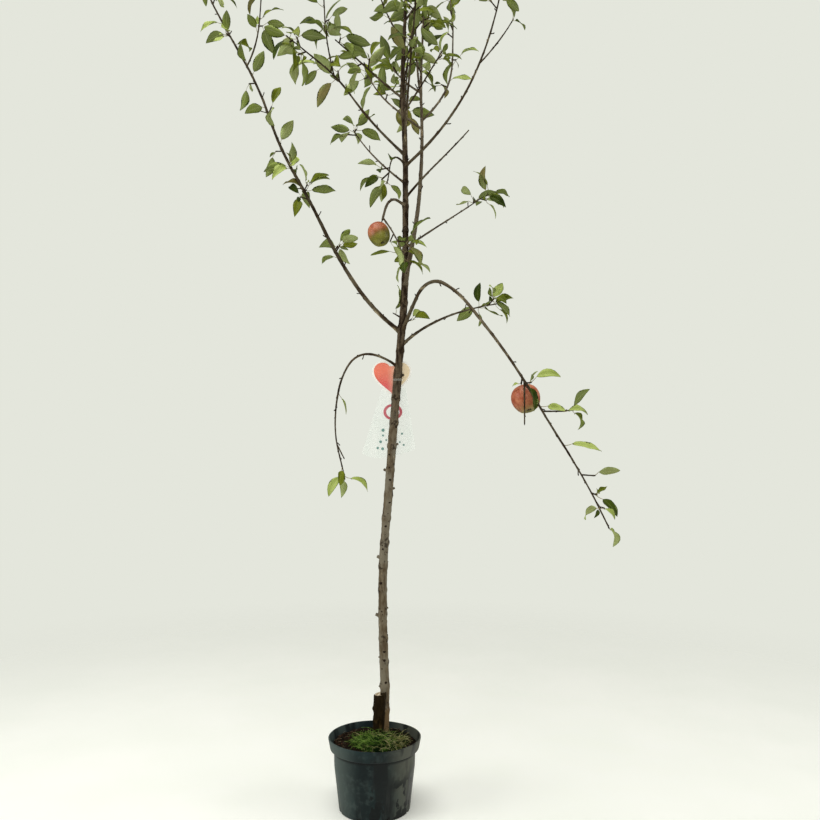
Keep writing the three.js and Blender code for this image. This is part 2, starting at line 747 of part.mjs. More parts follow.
function boughRadius(limb) {
  return (distance) => limb.radiusAt(distance) * (1 + COLLAR.swell * Math.exp(-distance / COLLAR.length));
}

function makeBoughs(limb, trunkClear) {
  const cuts = [0, limb.bend, limb.leafy].filter((cut) => cut !== undefined);
  const parts = limb.bend ? ["_rise", "_fall"] : [""];
  for (let i = 1; i < cuts.length && limb.leafy > 0; i++) {
    const from = cuts[i - 1] + (i > 1 ? GAP : 0);
    let bough = limbSolid(limb.line, from, cuts[i], boughRadius(limb), 6, ringCount(cuts[i] - from));
    if (i === 1) bough = bough.subtract(trunkClear);
    addPiece("bough_" + limb.name + parts[i - 1], bough, MATERIALS.bark);
  }
}

function stalkSolid(fruit) {
  const end = fruit.centre.clone();
  end.z += fruit.height * 0.3;
  const line = { points: [fruit.from, end], length: fruit.from.distanceTo(end) };
  return limbSolid(line, 0, line.length, () => FRUIT.stalkRadius, 4, 1);
}

function spurSolid(twig) {
  const [foot, end] = twig.points;
  const length = twig.length + SPUR.tip;
  const line = { points: [foot, foot.clone().lerp(end, length / twig.length)], length };
  return limbSolid(line, 0, length, () => SPUR.radius, 3, 1);
}

function makeFoliage(limb, trunkClear) {
  const from = limb.leafy > 0 ? limb.leafy + GAP : 0;
  const radiusAt = limb.leafy > 0 ? limb.radiusAt : boughRadius(limb);
  const stemSides = limb.leafy > 0 ? 5 : 4;
  const stemRings = ringCount(limb.length - from, limb.rings);
  let mass = limbSolid(limb.line, from, limb.length, radiusAt, stemSides, stemRings);
  for (const shoot of limb.shoots) {
    const rings = ringCount(shoot.length, limb.rings);
    mass = mass.add(limbSolid(shoot.line, 0, shoot.length, shoot.radiusAt, 3, rings));
  }
  for (const twig of limb.twigs) mass = mass.add(spurSolid(twig));
  for (const leaf of limb.leaves) mass = mass.add(leafSolid(leaf));
  if (limb.hung) mass = mass.add(stalkSolid(limb.hung)).add(fruitSolid(limb.hung));
  if (limb.leafy === 0) mass = mass.subtract(trunkClear);
  addPiece("foliage_" + limb.name, mass, MATERIALS.foliage);
}

function topShoots() {
  const { count, from, every, heading, rises, lengths, radii, tufts, seed } = TOP_SHOOTS;
  const shoots = [];
  for (let i = 0; i < count; i++) {
    shoots.push({
      name: "top_" + (i + 1),
      at: from + every * i,
      headings: [heading + GOLDEN_ANGLE * i],
      rises,
      length: mix(lengths[0], lengths[1], i / (count - 1)),
      radii,
      leafy: 0,
      seed: seed + i,
      tufts,
    });
  }
  const { heading: tipHeading, rise, ...tip } = TIP_SHOOT;
  const course = { at: TRUNK.length, headings: [tipHeading], rises: [rise] };
  shoots.push({ ...tip, ...course, name: "top_tip", leafy: 0 });
  return shoots;
}

makePot();
makeSoil();
makeMoss();
makeTrunk();
makeLabel();

addSegments(trunkLine, trunkRadius, "trunk");
const limbs = [...LIMBS, ...topShoots()].map(prepareLimb);
limbs.filter((limb) => limb.fruit).forEach(placeFruit);
for (const limb of limbs) {
  if (limb.leafy >= limb.length) continue;
  growAxis(limb, limb);
  for (const run of limb.runs ?? []) growAxis({ ...limb, tip: 0, ...run }, limb);
  limb.shoots.forEach((shoot) => growAxis(shoot, limb));
}
const clearRadius = (distance) => trunkRadius(distance) + GAP / Math.cos(Math.PI / TRUNK.sides);
const trunkClear = limbSolid(trunkLine, 0, TRUNK.length, clearRadius, TRUNK.sides, TRUNK.rings);
for (const limb of limbs) {
  makeBoughs(limb, trunkClear);
  if (limb.leafy < limb.length) makeFoliage(limb, trunkClear);
}

export default tree;
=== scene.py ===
import math

import bmesh
import bpy
import numpy as np
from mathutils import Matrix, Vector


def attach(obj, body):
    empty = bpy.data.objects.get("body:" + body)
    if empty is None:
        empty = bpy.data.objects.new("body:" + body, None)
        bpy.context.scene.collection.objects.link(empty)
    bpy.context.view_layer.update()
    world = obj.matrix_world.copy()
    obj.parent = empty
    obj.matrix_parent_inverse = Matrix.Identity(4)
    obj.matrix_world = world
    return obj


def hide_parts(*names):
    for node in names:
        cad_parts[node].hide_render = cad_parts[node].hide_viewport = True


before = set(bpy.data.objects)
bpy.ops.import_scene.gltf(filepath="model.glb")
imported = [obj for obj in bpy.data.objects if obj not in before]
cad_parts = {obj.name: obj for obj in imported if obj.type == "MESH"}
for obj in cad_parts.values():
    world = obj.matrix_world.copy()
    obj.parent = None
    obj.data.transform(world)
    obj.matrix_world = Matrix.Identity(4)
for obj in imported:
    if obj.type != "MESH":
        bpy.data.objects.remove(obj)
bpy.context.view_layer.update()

bl_info = {
    "name": "Potted Fruit Tree",
    "version": (1, 0, 0),
    "blender": (4, 5, 0),
    "location": "View3D > Sidebar > Tree",
    "description": "A dwarf fruit tree in a round nursery pot, piece by piece",
    "category": "Add Mesh",
}

BODY = "root"
MM = 0.001  # the growing rule works in millimetres
MERGE = 1e-6  # points nearer than this many metres are one

# ---- sizes of the plant

POT = {
    "height": 199, "foot_radius": 98, "waist_radius": 111.5, "waist_height": 120,
    "body_radius": 112.5, "band_bottom": 165, "band_step": 2, "band_radius": 122.5,
    "rim_radius": 128, "rim_edge": 2, "wall": 2.2, "lip": 3.5,
    "holes": 8, "hole_radius": 7, "hole_depth": 16,
}
SOIL = {"level": 186, "flat_radius": 103, "edge_level": 181, "edge_radius": 115.5}
MOSS = {"x": 20, "y": -35, "radius": 61, "stretch": 1.12, "height": 17}
GAP = 0.3  # between neighbouring solids

TRUNK = {
    "foot": (24, 50, SOIL["level"] + GAP),
    "sways": [1.5, -2.5, 1, 2, -2, -1, 1.5, -1.5],
    "rises": [87, 92.5, 90, 85, 86, 85, 85, 90, 90, 93, 87, 89, 91],
    "length": 2340,
    "radii": [13.4, 12.7, 12.2, 12, 12, 11.8, 10.6, 9, 7.9, 7, 5.5, 3.2, 1.6],
    "flare": 2.2, "flare_height": 18, "knot_every": 68, "knot": 0.07,
}
SNAG = {
    "foot": (9, 46, SOIL["level"] + GAP), "lean": 4, "forward": 11, "height": 117,
    "top_radius": 16.8, "foot_radius": 17.2, "cut_tilt": 14,
}
LABEL = {
    "strap_height": 1186, "strap_width": 6, "strap_clear": 1.3, "strap_thickness": 1.8,
    "trunk_clear": 0.6, "thickness": 1,
    "heart": {"x": 46, "top": 1246, "width": 112, "height": 100, "notch": -26},
    "film": {
        "x": 43, "top": 1168, "bottom": 968, "shoulders": (-24, 43),
        "corners": ((-82, -186), (71, -174)), "dip": (-38, -221),
    },
}
LEAF = {
    "length": (46, 74), "width": 0.48, "petiole": (12, 22), "spread": (42, 74),
    "droop": (0.1, 0.75), "roll": (18, 70), "arch": 0.07,
}
SPUR = {"length": (8, 30), "radius": 1.7, "lean": 58, "leaves": (1, 4), "tip_leaves": 3, "apart": 3.2}
SHOOT = {"share": 0.85, "radii": (3.4, 1.5)}
ROOM = {"limb": 8, "own_limb": 2, "fruit": 4, "own_leaf": 7.2, "leaf": 17.6, "twig": 12.8}
PROBES = {"midrib": (0.15, 0.4, 0.65, 0.92), "margins": (0.4, 0.65), "twig": (0.5, 1)}  # shares of a length
FRUIT_STALK = 9

LIMBS = [
    dict(
        name="left_long", at=1140, length=1310, radii=[6, 2], leafy=262, seed=510,
        headings=[176, 162], rises=[36, 56, 64, 60, 71, 60, 61, 80], tufts=[1000, 1075, 1145, 1240],
        runs=[
            dict(seed=1820, tufts=[284, 302]), dict(seed=1588, tufts=[477, 505]),
            dict(seed=1930, tufts=[556]), dict(seed=1832, tufts=[640, 707]),
            dict(seed=1129, tufts=[757]), dict(seed=1832, tufts=[861, 921]),
        ],
        shoots=[
            dict(at=920, length=290, headings=[50, 20], rises=[62, 84, 90], seed=1951, tufts=[115, 160, 230]),
        ],
    ),
    dict(
        name="left_upper", at=1640, length=445, radii=[3.9, 1.5], leafy=225, seed=812,
        headings=[-139], rises=[24, 30, 40, 20, 20], tufts=[405],
        runs=[
            dict(seed=1806, tufts=[242, 270]), dict(seed=1345, tufts=[303, 330]),
            dict(seed=188, tufts=[362, 385]),
        ],
        shoots=[
            dict(
                at=290, length=300, headings=[-134, -125], rises=[68, 86, 81], seed=1489,
                tufts=[95, 134, 170, 207, 255],
            ),
        ],
    ),
    dict(
        name="left_mid", at=1560, length=275, radii=[3.1, 1.5], leafy=240, seed=270,
        headings=[143], rises=[38, 44, 55], tufts=[255],
    ),
    dict(
        name="left_hanging", at=1610, length=165, radii=[2.6, 1.5], leafy=0, seed=361,
        headings=[-124, -113, -110], rises=[35, -16, -74, -62], tufts=[90, 130],
    ),
    dict(
        name="left_fruit_spur", at=1500, length=141, radii=[4.2, 3], leafy=0, seed=1,
        headings=[-125, -122, -180], rises=[0, 9, -27, -72, -78], tufts=[], tip=0,
        fruit=dict(radius=29.5, height=64, tilt=14, eye=-20),
        shoots=[
            dict(at=135, length=140, headings=[-35, 5], rises=[-50, -62, -76], seed=1065, tufts=[58, 108]),
        ],
    ),
    dict(
        name="left_arching", at=1040, length=500, radii=[3.6, 1.5], leafy=190, seed=390,
        headings=[-168, -130, -13], rises=[40, 9, -52, -74, -75, -68, -78], tufts=[256, 470], tip=4,
        shoots=[dict(at=405, length=45, headings=[-40], rises=[-55], seed=1, tufts=[], tip=0)],
    ),
    dict(
        name="right_arching", at=1140, length=1025, radii=[5.3, 1.6], bend=200, leafy=560, seed=1300,
        headings=[-52, -41, -43, -23], rises=[54, 54, -28, -48, -49, -53, -56, -55, -60, -65],
        tufts=[], tip=1,
        runs=[
            dict(seed=776, tufts=[600, 618]), dict(seed=333, tufts=[690]), dict(seed=1361, tufts=[805]),
            dict(seed=564, tufts=[888]), dict(seed=1591, tufts=[937, 962]),
        ],
        fruit=dict(at=610, side=42, radius=36.5, height=67, tilt=-14),
        shoots=[
            dict(at=705, length=85, headings=[18], rises=[0, 6], seed=366, tufts=[35], tip=3),
            dict(at=612, length=105, headings=[-95], rises=[-84, -88], seed=1, tufts=[], tip=0),
        ],
    ),
    dict(
        name="right_low", at=1100, length=345, radii=[4.6, 1.7], leafy=262, seed=11,
        headings=[28, 19], rises=[43, 29, 18, 11], tufts=[285, 320],
    ),
    dict(
        name="right_mid", at=1380, length=330, radii=[3.1, 1.4], leafy=240, seed=71,
        headings=[21], rises=[36, 34, 37], tufts=[262, 300],
    ),
    dict(
        name="right_bare", at=1520, length=255, radii=[3.4, 1.6], leafy=255, seed=1,
        headings=[-35], rises=[40, 32, 36], tufts=[],
    ),
    dict(
        name="right_upper", at=1610, length=600, radii=[4.2, 1.4], leafy=318, seed=104,
        headings=[-30, -47, -52], rises=[30, 36, 45, 58, 70, 80], tufts=[470, 530, 570],
        shoots=[dict(at=335, length=175, headings=[26], rises=[47, 59], seed=400, tufts=[], tip=2)],
    ),
    dict(
        name="second_leader", at=1270, length=1010, radii=[6.8, 1.6], leafy=430, seed=379,
        headings=[-50, 30, 110, 40, -17], rises=[76, 80, 85, 84, 82, 86, 86, 82],
        tufts=[600, 680, 760, 830, 900, 960],
        shoots=[
            dict(at=455, length=270, headings=[156], rises=[38, 44, 66], seed=22, tufts=[130, 180, 225]),
            dict(
                at=480, length=520, headings=[15, 131], rises=[45, 59, 86, 70, 89], seed=359,
                tufts=[145, 240, 310, 380, 450],
            ),
            dict(
                at=550, length=440, headings=[105, 89], rises=[61, 76, 74, 77], seed=118,
                tufts=[110, 180, 250, 320, 390],
            ),
            dict(at=565, length=160, headings=[143], rises=[35, 54], seed=70, tufts=[110]),
        ],
    ),
    dict(
        name="right_inner", at=1760, length=190, radii=[3, 1.6], leafy=105, seed=5,
        headings=[-46], rises=[36, 42], tufts=[140, 170],
    ),
    dict(
        name="left_inner", at=1800, length=260, radii=[3.2, 1.6], leafy=120, seed=187,
        headings=[-134], rises=[12, 19, 17], tufts=[140, 185, 225],
    ),
    dict(
        name="back_upper", at=1592, length=560, radii=[4.4, 1.6], leafy=240, seed=390,
        headings=[95, 80], rises=[45, 60, 70], tufts=[290, 350, 420, 490],
    ),
    dict(
        name="front_upper", at=1665, length=430, radii=[4, 1.6], leafy=210, seed=326,
        headings=[-88, -70], rises=[40, 62, 75], tufts=[250, 300, 345, 390],
    ),
    dict(
        name="back_fruit_spur", at=1828, length=92, radii=[2.8, 2.2], leafy=0, seed=1,
        headings=[97], rises=[50, -20, -75], tufts=[], tip=0,
        fruit=dict(radius=23.5, height=50, tilt=-20),
    ),
    dict(
        name="low_spur_left", at=1345, length=34, radii=[2.2, 1.6], leafy=0, seed=146,
        headings=[-160], rises=[30, 50], tufts=[20],
    ),
    dict(
        name="low_spur_right", at=1318, length=42, radii=[2.2, 1.6], leafy=0, seed=262,
        headings=[52], rises=[25, 60], tufts=[20],
    ),
    dict(
        name="low_twig_right", at=1160, length=30, radii=[2.2, 1.6], leafy=0, seed=287,
        headings=[5], rises=[35], tufts=[], tip=2,
    ),
    dict(
        name="low_twig_left", at=1180, length=30, radii=[2.2, 1.6], leafy=0, seed=225,
        headings=[165], rises=[30], tufts=[], tip=2,
    ),
]
TOP_SHOOTS = {
    "count": 8, "from": 1835, "every": 62, "heading": -70, "rises": [46, 74],
    "lengths": (190, 110), "radii": [2.8, 1.5], "tufts": [75], "seed": 6,
}
TIP_SHOOT = dict(headings=[20], rises=[88], length=60, radii=[1.6, 1.4], tufts=[16, 38], seed=41)
FINE = {  # finer tufts that only this mesh carries, beyond each second one of the source's
    "beyond": 24, "each": 2, "seed": 500,
    "sparse": ("left_arching", "right_arching", "low_spur_left", "low_spur_right", "right_low"),
    "room": {"limb": 5, "own_limb": 2, "fruit": 4, "own_leaf": 4.2, "leaf": 7.5, "twig": 8},
}
GOLDEN_ANGLE = 137.5
NODE_TURN = 144  # degrees from one bud of a limb to the next, two fifths of a circle
STEP = 12  # between the points of a centre line
COLLAR = {"swell": 0.5, "length": 9}

# ---- numbers


def mix(a, b, t):
    return a + (b - a) * t


def along(values, t):
    """The value at share t of a list whose values are spread evenly."""
    if len(values) == 1:
        return values[0]
    place = min(max(t, 0.0), 1.0) * (len(values) - 1)
    index = min(math.floor(place), len(values) - 2)
    return mix(values[index], values[index + 1], place - index)


def seeded(seed):
    """Numbers from 0 to 1 that a seed fixes."""
    state = (seed * 7919 + 17) & 0xFFFFFFFF

    def draw():
        nonlocal state
        state = (state * 1664525 + 1013904223) & 0xFFFFFFFF
        return state / 4294967296

    return draw


def vector(x, y, z):
    return np.array([x, y, z], float)


def unit(v):
    return v / math.sqrt(float(v @ v))


def turned(a, b, angle):
    """The vector a, turned towards b by an angle in radians."""
    return a * math.cos(angle) + b * math.sin(angle)


def direction(heading, rise):
    h, r = math.radians(heading), math.radians(rise)
    return vector(math.cos(r) * math.cos(h), math.cos(r) * math.sin(h), math.sin(r))


def outward(tangent, roll):
    """A unit vector square to the tangent, turned round it by the roll in degrees."""
    reference = vector(1, 0, 0) if abs(tangent[2]) > 0.95 else vector(0, 0, 1)
    side = unit(np.cross(reference, tangent))
    return turned(side, np.cross(tangent, side), math.radians(roll))


def leaning(tangent, lean, roll):
    """The direction that leaves a tangent by the lean in degrees, on the side of the roll."""
    return turned(tangent, outward(tangent, roll), math.radians(lean))


def rotation(axis, angle):
    """The matrix of a turn about X, Y or Z by an angle in degrees."""
    a, b = {"X": (1, 2), "Y": (2, 0), "Z": (0, 1)}[axis]
    matrix, angle = np.eye(3), math.radians(angle)
    matrix[a, a] = matrix[b, b] = math.cos(angle)
    matrix[b, a], matrix[a, b] = math.sin(angle), -math.sin(angle)
    return matrix


def ripples(seed, count, lengths, turns, distances, angles):
    """Smooth uneven heights over a limb's skin, from about -1 to 1."""
    random = seeded(seed)
    total = np.zeros((len(distances), len(angles)))
    for _ in range(count):
        wave = 2 * math.pi / mix(*lengths, random())
        around = math.floor(mix(turns[0], turns[1] + 1, random()))
        phase = 2 * math.pi * random()
        total += np.cos(wave * distances[:, None] + around * angles[None, :] + phase)
    return total / math.sqrt(count * 1.2)


# ---- centre lines


def centre_line(start, headings, rises, length):
    count = max(5, math.floor(length / STEP + 0.5))
    points = [np.array(start, float)]
    for i in range(count):
        t = (i + 0.5) / count
        points.append(points[i] + direction(along(headings, t), along(rises, t)) * (length / count))
    return {"points": np.array(points), "length": length}


def straight(start, way, length):
    return {"points": np.array([start, start + way * length]), "length": length}


def point_at(line, distance):
    points = line["points"]
    place = distance / line["length"] * (len(points) - 1)
    index = min(max(math.floor(place), 0), len(points) - 2)
    return mix(points[index], points[index + 1], place - index)


def tangent_at(line, distance):
    ahead = point_at(line, min(distance + 1, line["length"]))
    return unit(ahead - point_at(line, max(distance - 1, 0)))


def trunk_radius(distance):
    knot = max(0.0, math.cos(2 * math.pi * distance / TRUNK["knot_every"])) ** 4
    flare = TRUNK["flare"] * math.exp(-distance / TRUNK["flare_height"])
    return along(TRUNK["radii"], distance / TRUNK["length"]) * (1 + TRUNK["knot"] * knot) + flare


def trunk_centre_line():
    line = centre_line(TRUNK["foot"], [0], TRUNK["rises"], TRUNK["length"])
    count = len(line["points"]) - 1
    y = TRUNK["foot"][1]
    for i in range(1, count + 1):
        y += math.sin(math.radians(along(TRUNK["sways"], (i - 0.5) / count))) * (TRUNK["length"] / count)
        line["points"][i][1] = y
    return line


# ---- the growing rule


class Crown:
    """Limbs, shoots, spurs, leaves and fruit, each grown where there is still room."""

    def __init__(self):
        self.starts, self.runs, self.sizes, self.owners = [], [], [], []
        self.probes, self.probe_owners = [], []
        self.balls = []
        self.room = ROOM
        self.trunk = trunk_centre_line()
        self.add_segments(self.trunk, trunk_radius, "trunk")
        self.limbs = [self.prepare(dict(limb)) for limb in LIMBS + self.top_shoots()]
        for limb in self.limbs:
            if "fruit" in limb:
                self.place_fruit(limb)
        for limb in self.limbs:
            for axis in self.leafy_axes(limb):
                self.grow_axis(axis, limb)
        self.room = FINE["room"]
        for limb in self.limbs:
            if limb["name"] in FINE["sparse"]:
                continue
            for axis in self.leafy_axes(limb):
                end = axis["line"]["length"] - 4
                finer = [min(distance + FINE["beyond"], end) for distance in axis["tufts"][:: FINE["each"]]]
                self.grow_axis(dict(axis, tip=0, seed=axis["seed"] + FINE["seed"], tufts=finer), limb)

    def foliage_nodes(self):
        return [f"foliage_{limb['name']}" for limb in self.limbs if limb["leafy"] < limb["length"]]

    def leafy_axes(self, limb):
        """The limb, its further runs of tufts and its shoots, where it bears leaves."""
        if limb["leafy"] >= limb["length"]:
            return []
        return [limb, *[dict(limb, tip=0, **run) for run in limb.get("runs", [])], *limb["shoots"]]

    def top_shoots(self):
        shoots = []
        for i in range(TOP_SHOOTS["count"]):
            share = i / (TOP_SHOOTS["count"] - 1)
            shoots.append(
                dict(
                    name=f"top_{i + 1}", at=TOP_SHOOTS["from"] + TOP_SHOOTS["every"] * i,
                    headings=[TOP_SHOOTS["heading"] + GOLDEN_ANGLE * i], rises=TOP_SHOOTS["rises"],
                    length=mix(*TOP_SHOOTS["lengths"], share), radii=TOP_SHOOTS["radii"], leafy=0,
                    seed=TOP_SHOOTS["seed"] + i, tufts=TOP_SHOOTS["tufts"],
                )
            )
        return shoots + [dict(TIP_SHOOT, name="top_tip", at=TRUNK["length"], leafy=0)]

    def add_segment(self, a, b, radius, owner):
        self.starts.append(a)
        self.runs.append(b - a)
        self.sizes.append(radius)
        self.owners.append(owner)

    def add_segments(self, line, radius_at, owner):
        points = line["points"]
        for i in range(1, len(points)):
            distance = i / (len(points) - 1) * line["length"]
            self.add_segment(points[i - 1], points[i], radius_at(distance), owner)

    def prepare(self, limb):
        line = centre_line(point_at(self.trunk, limb["at"]), limb["headings"], limb["rises"], limb["length"])
        limb["line"] = line
        limb["radius_at"] = lambda d: along(limb["radii"], d / limb["length"])
        self.add_segments(line, limb["radius_at"], limb["name"])
        shoots = []
        for shoot in limb.get("shoots", []):
            shoot = dict(shoot)
            start = point_at(line, shoot["at"])
            shoot["line"] = centre_line(start, shoot["headings"], shoot["rises"], shoot["length"])
            foot = min(limb["radius_at"](shoot["at"]) * SHOOT["share"], SHOOT["radii"][0])
            shoot["radius_at"] = lambda d, f=foot, n=shoot["length"]: mix(f, SHOOT["radii"][1], d / n)
            self.add_segments(shoot["line"], shoot["radius_at"], limb["name"])
            shoots.append(shoot)
        limb["shoots"] = shoots
        limb["leaves"], limb["twigs"] = [], []
        return limb

    def place_fruit(self, limb):
        fruit = limb["fruit"]
        start = point_at(limb["line"], fruit.get("at", limb["length"] - 2))
        drop = FRUIT_STALK + fruit["height"] / 2
        lean = drop * math.sin(math.radians(fruit["tilt"]))
        centre = vector(start[0] - lean, start[1] + fruit.get("side", 0), start[2] - drop)
        limb["hung"] = dict(fruit, start=start, centre=centre)
        self.balls.append((centre, max(fruit["radius"], fruit["height"] / 2)))

    def distances(self, point):
        """From a point to every limb segment that is there."""
        starts, runs = np.array(self.starts), np.array(self.runs)
        share = np.clip(((point - starts) * runs).sum(1) / (runs * runs).sum(1), 0, 1)
        return np.linalg.norm(starts + runs * share[:, None] - point, axis=1)

    def has_room(self, leaf, owner):
        side = unit(np.cross(leaf["tip"] - leaf["base"], leaf["normal"]))
        probes = [blade_point(leaf, t) for t in PROBES["midrib"]]
        for t in PROBES["margins"]:
            for hand in (-1, 1):
                probes.append(blade_point(leaf, t) + side * (hand * leaf["width"] / 2))
        own = np.array([o == owner for o in self.owners])
        limb_room = np.array(self.sizes) + np.where(own, self.room["own_limb"], self.room["limb"])
        mine = np.array([o == owner for o in self.probe_owners], bool)
        leaf_room = np.where(mine, self.room["own_leaf"], self.room["leaf"])
        there = np.array(self.probes).reshape(-1, 3)
        for probe in probes:
            if (self.distances(probe) < limb_room).any():
                return False
            if any(np.linalg.norm(probe - c) < r + self.room["fruit"] for c, r in self.balls):
                return False
            if (np.linalg.norm(there - probe, axis=1) < leaf_room).any():
                return False
        self.probes.extend(probes)
        self.probe_owners.extend([owner] * len(probes))
        return True

    def twig_has_room(self, start, end, owner):
        other = np.array([o != owner for o in self.owners])
        room = np.array(self.sizes) + self.room["limb"]
        theirs = np.array([o != owner for o in self.probe_owners], bool)
        there = np.array(self.probes).reshape(-1, 3)[theirs]
        for t in PROBES["twig"]:
            probe = mix(start, end, t)
            if (self.distances(probe)[other] < room[other]).any():
                return False
            if (np.linalg.norm(there - probe, axis=1) < self.room["twig"]).any():
                return False
        return True

    def grow_axis(self, axis, mass):
        """Tufts of leaves along a stem or shoot, with a rosette at its tip."""
        random = seeded(axis["seed"])
        roll = 360 * random()
        name = mass["name"]

        def try_leaf(place, tangent, turn, held):
            leaf = make_leaf(place, tangent, turn, random)
            leaf["seed"] = len(mass["leaves"]) + 31 * (axis["seed"] + len(name))
            if held and self.has_room(leaf, name):
                mass["leaves"].append(leaf)

        for distance in axis["tufts"]:
            place, tangent = point_at(axis["line"], distance), tangent_at(axis["line"], distance)
            fewest, most = SPUR["leaves"]
            count = math.floor(mix(fewest, most + 1, random()))
            spur_length = mix(*SPUR["length"], random())
            single = count == 1
            way = tangent if single else leaning(tangent, SPUR["lean"], roll)
            end = place if single else place + way * spur_length
            grows = not single and self.twig_has_room(place, end, name)
            if grows:
                mass["twigs"].append(straight(place, way, spur_length))
                self.add_segment(place, end, SPUR["radius"], name)
            for i in range(count):
                root = end - way * (SPUR["apart"] * min(i, 2))
                try_leaf(root, way, roll + 360 * i / count, grows or single)
            roll += GOLDEN_ANGLE
        tip_leaves = axis.get("tip", SPUR["tip_leaves"])
        for i in range(tip_leaves):
            distance = axis["line"]["length"] - 2 - SPUR["apart"] * i
            tangent = tangent_at(axis["line"], distance)
            try_leaf(point_at(axis["line"], distance), tangent, roll + 360 * i / tip_leaves, True)


def make_leaf(place, tangent, roll, random):
    spread = mix(*LEAF["spread"], random())
    droop = mix(*LEAF["droop"], random())
    length = mix(*LEAF["length"], random())
    petiole = mix(*LEAF["petiole"], random())
    hand = -1 if random() < 0.5 else 1
    turn = math.radians(hand * mix(*LEAF["roll"], random()))
    way = leaning(tangent, spread, roll)
    base = place + way * petiole
    way = unit(way - vector(0, 0, droop))
    tip = base + way * length
    side = outward(way, 0) if abs(way[2]) > 0.97 else unit(np.cross(vector(0, 0, 1), way))
    return {
        "root": place, "base": base, "tip": tip, "normal": turned(np.cross(way, side), side, turn),
        "length": length, "width": length * LEAF["width"],
    }


def blade_point(leaf, t):
    lift = 4 * t * (1 - t) * LEAF["arch"] * leaf["length"]
    return mix(leaf["base"], leaf["tip"], t) + leaf["normal"] * lift


crown = Crown()

# ---- meshes


class Pile:
    """The points and faces of many small shapes, gathered for one joined mesh."""

    def __init__(self):
        self.points, self.faces, self.slots, self.values = [], [], [], []
        self.count = 0

    def add(self, points, faces, slots=0, values=None):
        """values holds three numbers a point, kept as the mesh's "skin" attribute."""
        points = np.asarray(points, float)
        self.points.append(points)
        self.values.append(np.zeros_like(points) if values is None else np.asarray(values, float))
        self.faces.extend([tuple(self.count + i for i in face) for face in faces])
        self.slots.extend([slots] * len(faces) if isinstance(slots, int) else slots)
        self.count += len(points)

    def mesh(self, name, smooth=True):
        mesh = bpy.data.meshes.new(name)
        mesh.from_pydata((np.concatenate(self.points) * MM).tolist(), [], self.faces)
        mesh.polygons.foreach_set("material_index", self.slots)
        mesh.polygons.foreach_set("use_smooth", [smooth] * len(self.faces))
        skin = mesh.attributes.new("skin", "FLOAT_VECTOR", "POINT")
        skin.data.foreach_set("vector", np.concatenate(self.values).ravel())
        mesh.update()
        return mesh


def tube(line, distances, angles, radii, tip_cap=True):
    """A closed skin along a line. radii has a row for each distance and a column for each angle."""
    rings, sides = radii.shape
    side = outward(tangent_at(line, distances[0]), 0)
    around, across = np.cos(angles), np.sin(angles)
    points, skin = [], []
    for i, distance in enumerate(distances):
        tangent = tangent_at(line, distance)
        side = unit(side - tangent * float(side @ tangent))
        ring = around[:, None] * side + across[:, None] * np.cross(tangent, side)
        points.append(point_at(line, distance) + ring * radii[i][:, None])
        mean = radii[i].mean() * MM
        skin.append(np.stack([around * mean, across * mean, np.full(sides, distance * MM)], 1))
    points.append([point_at(line, distances[0]), point_at(line, distances[-1])])
    skin.append([(0, 0, distances[0] * MM), (0, 0, distances[-1] * MM)])
    faces = []
    for i in range(rings - 1):
        a, b = i * sides, (i + 1) * sides
        for j in range(sides):
            k = (j + 1) % sides
            faces.append((a + j, a + k, b + k, b + j))
    foot, tip, last = rings * sides, rings * sides + 1, (rings - 1) * sides
    for j in range(sides):
        k = (j + 1) % sides
        faces.append((foot, k, j))
        if tip_cap:
            faces.append((tip, last + j, last + k))
    return np.concatenate(points), faces, np.concatenate(skin)


def even_angles(sides):
    return np.arange(sides) * (2 * math.pi / sides)


def new_piece(name, shape, nodes, materials, smooth=True):
    """A piece at the origin, from a pile, bmesh or mesh, that rides on the body and stands for its nodes."""
    if isinstance(shape, Pile):
        shape = shape.mesh(name, smooth)
    elif isinstance(shape, bmesh.types.BMesh):
        shape = finish_mesh(shape, name, smooth)
    for material in materials:
        shape.materials.append(material)
    piece = bpy.data.objects.new(name, shape)
    bpy.context.scene.collection.objects.link(piece)
    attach(piece, BODY)
    if nodes:
        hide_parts(*nodes)
    return piece


def merge(bm):
    """Merges doubles and turns the faces outwards."""
    bmesh.ops.remove_doubles(bm, verts=bm.verts, dist=MERGE)
    bmesh.ops.recalc_face_normals(bm, faces=bm.faces)


def finish_mesh(bm, name, smooth=True):
    merge(bm)
    for face in bm.faces:
        face.smooth = smooth
    mesh = bpy.data.meshes.new(name)
    bm.to_mesh(mesh)
    bm.free()
    return mesh


def spun(profile, steps):
    """A bmesh of a profile of radius and height pairs in millimetres, turned once about Z."""
    bm = bmesh.new()
    verts = [bm.verts.new((r * MM, 0, z * MM)) for r, z in profile]
    edges = [bm.edges.new(pair) for pair in zip(verts, verts[1:])]
    bmesh.ops.spin(
        bm, geom=verts + edges, axis=(0, 0, 1), cent=(0, 0, 0), dvec=(0, 0, 0),
        angle=2 * math.pi, steps=steps, use_merge=True, use_duplicate=False,
    )
    merge(bm)
    return bm


def bezier(points, t):
    """The point at share t of the curve between the first and the last of a few points."""
    last = len(points) - 1
    return sum(
        np.array(point, float) * (math.comb(last, i) * (1 - t) ** (last - i) * t**i)
        for i, point in enumerate(points)
    )


